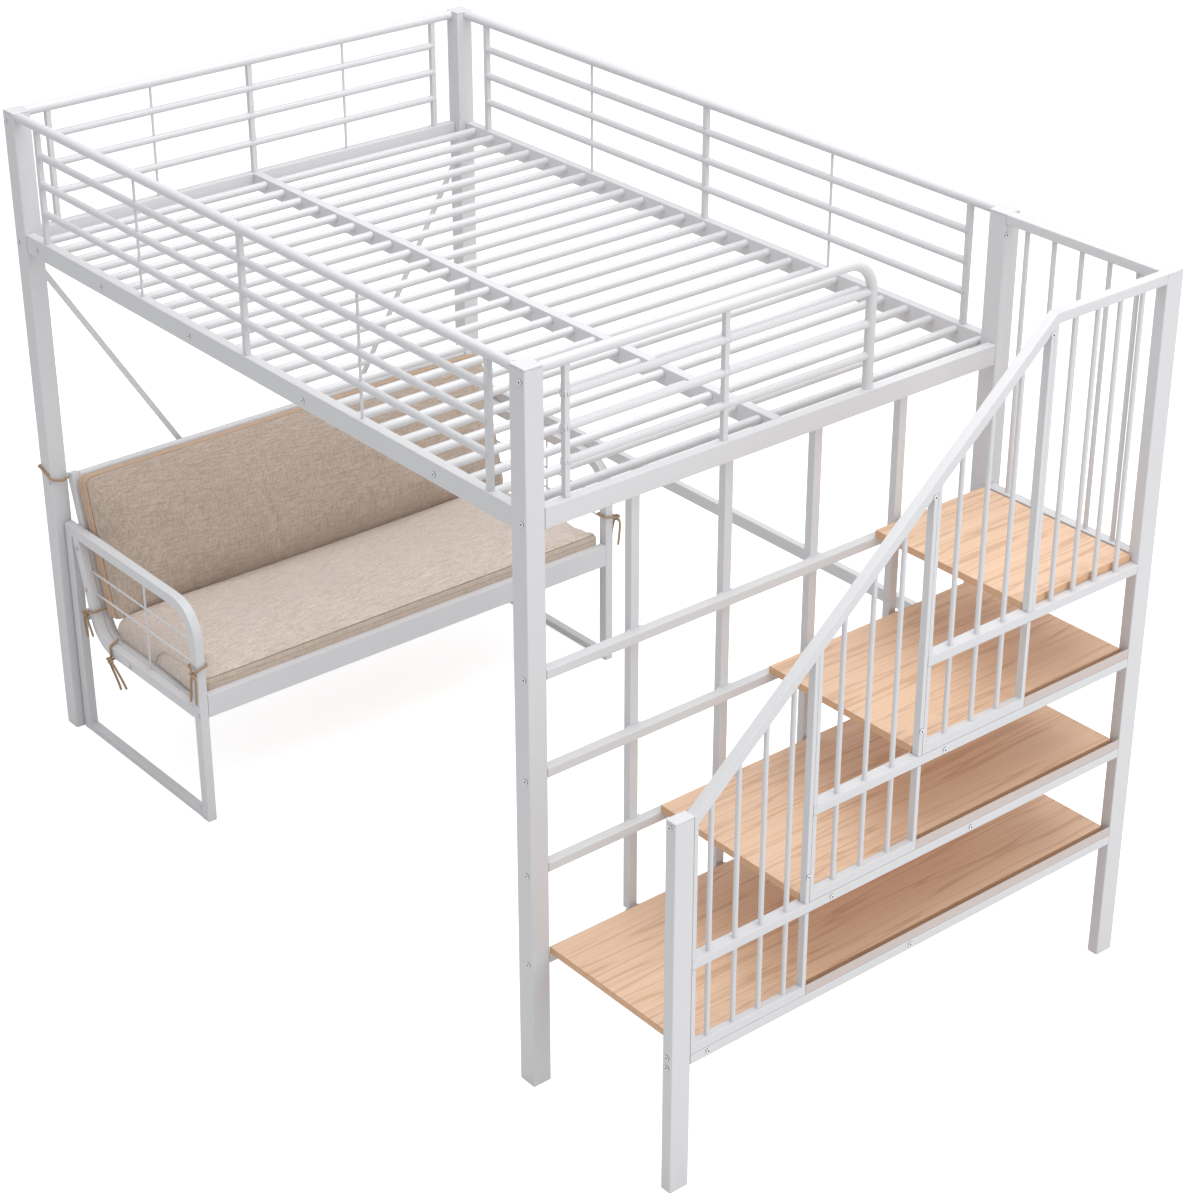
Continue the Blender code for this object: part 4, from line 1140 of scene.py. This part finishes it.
def pad(name, node, cloth, size, height, corner, levels, held, marks, origin, axes):
    """A pad: start shape, voxel remesh, swelling, one subdivision and seams, then set on the sofa."""
    points, faces = pad_start(size, height, corner)
    mesh = bpy.data.meshes.new(name)
    mesh.from_pydata(points.tolist(), [], faces)
    piece = added(name, mesh)
    remesh = piece.modifiers.new("even", "REMESH")
    remesh.mode, remesh.voxel_size = "VOXEL", pad_step
    applied(piece)
    swollen(piece, size, held(places_of(piece.data)))
    finer = piece.modifiers.new("finer", "SUBSURF")
    finer.levels = finer.render_levels = 1
    applied(piece)
    sewn(piece, levels, marks)
    flat = places_of(piece.data)
    flat[:, 0] += size[0] / 2
    piece.data.vertices.foreach_set("co", (np.array(origin) + flat @ np.array(axes)).ravel())
    piece.data.update()
    piece.data.materials.clear()
    piece.data.materials.append(cloth)
    piece.data.shade_smooth()
    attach(piece, "root")
    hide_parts(node)


def seat_held(points):
    """The seat pad's foot and its front seam."""
    x, _, z = points.T
    return (z < 0.004) | (x > seat_size[0] / 2 - 0.012) & (np.abs(z - seat_edge) < 0.006)


def back_held(points):
    """The back pad's rear face and its front seam."""
    x, y, z = points.T
    return (z < 0.004) | (back_border(x, y) > -0.010) & (np.abs(z - back_edge) < 0.006)


back_foot = 0.382
back_corner = 0.018
seat_corner = 0.014
back_face = back_line(back_foot) + half_tube * math.hypot(1, back_lean) * math.cos(lean_angle)
lean_way = (math.cos(lean_angle), 0, math.sin(lean_angle))
rise_way = (-math.sin(lean_angle), 0, math.cos(lean_angle))
pad("seat_cushion_cover", "seat_cushion",
    linen("seat_linen_cloth", linen_seat, linen_seat_dark, linen_seat_side, (0, 0, 0)),
    seat_size, seat_height, seat_corner, (seat_edge, seat_stitch), seat_held, seat_marks,
    (seat_low[0] - seat_reach, 0, seat_low[2]), ((1, 0, 0), (0, 1, 0), (0, 0, 1)))
pad("back_cushion_cover", "back_cushion",
    linen("back_linen_cloth", linen_back, linen_back_dark, linen_side, (0, -lean_angle, 0)),
    back_size, back_height, back_corner, (back_edge, back_stitch, foot_seam), back_held, back_marks,
    (back_face + 0.0006, 0, back_foot + 0.0002), (rise_way, (0, -1, 0), lean_way))

# Floor, backdrop and light: a plain white studio. The sky dome fills every side softly, a broad lamp
# overhead whitens the tops, and the floor keeps a faint shadow.
floor_half = 30.0
floor_tone = (0.80, 0.80, 0.80)
floor_glow = 0.62
sky_tone = (0.97, 0.985, 1.0)
sky_strength = 0.62
plain_white = (1, 1, 1)


def emptied(owner):
    """The node tree of a material or a world, with no node in it."""
    owner.use_nodes = True
    owner.node_tree.nodes.clear()
    return owner.node_tree


def shader(tree, kind, *values):
    """A shader of a kind with its first sockets set or linked; gives its output."""
    made = tree.nodes.new(kind)
    for place, value in zip(made.inputs, values):
        plug(tree, place, value)
    return Socket(tree, made.outputs[0])


def for_camera(tree, hidden, seen):
    """One shader for what the camera sees, and another for every other ray."""
    rays = Socket(tree, tree.nodes.new("ShaderNodeLightPath").outputs["Is Camera Ray"])
    return shader(tree, "ShaderNodeMixShader", rays, hidden, seen)


floor_mesh = bpy.data.meshes.new("floor")
floor_mesh.from_pydata([(-floor_half, -floor_half, 0), (floor_half, -floor_half, 0),
                        (floor_half, floor_half, 0), (-floor_half, floor_half, 0)], [], [(0, 1, 2, 3)])
floor = added("floor", floor_mesh)
paper = bpy.data.materials.new("white_floor")
tree = emptied(paper)
glow = for_camera(tree, shader(tree, "ShaderNodeEmission", plain_white, 0),
                  shader(tree, "ShaderNodeEmission", plain_white, floor_glow))
plug(tree, tree.nodes.new("ShaderNodeOutputMaterial").inputs["Surface"],
     shader(tree, "ShaderNodeAddShader", shader(tree, "ShaderNodeBsdfDiffuse", floor_tone), glow))
floor_mesh.materials.append(paper)

world = bpy.data.worlds.new("studio")
bpy.context.scene.world = world
tree = emptied(world)
plug(tree, tree.nodes.new("ShaderNodeOutputWorld").inputs["Surface"],
     for_camera(tree, shader(tree, "ShaderNodeBackground", sky_tone, sky_strength),
                shader(tree, "ShaderNodeBackground", plain_white, 1.0)))


def lamp(name, place, aim, size, power, colour=(1, 1, 1)):
    """A square area lamp that faces a point."""
    data = bpy.data.lights.new(name, "AREA")
    data.size, data.energy, data.color = size, power, colour
    made = bpy.data.objects.new(name, data)
    made.location = place
    made.rotation_euler = (Vector(aim) - Vector(place)).to_track_quat("-Z", "Y").to_euler()
    bpy.context.scene.collection.objects.link(made)


lamp("overhead", (0.5, 0.5, 6.0), (0, 0, 0.5), 6.0, 260)
lamp("stair_side", (7.0, 1.0, 3.0), (0, 0, 0.8), 4.0, 125)

bpy.context.scene.view_settings.view_transform = "Standard"
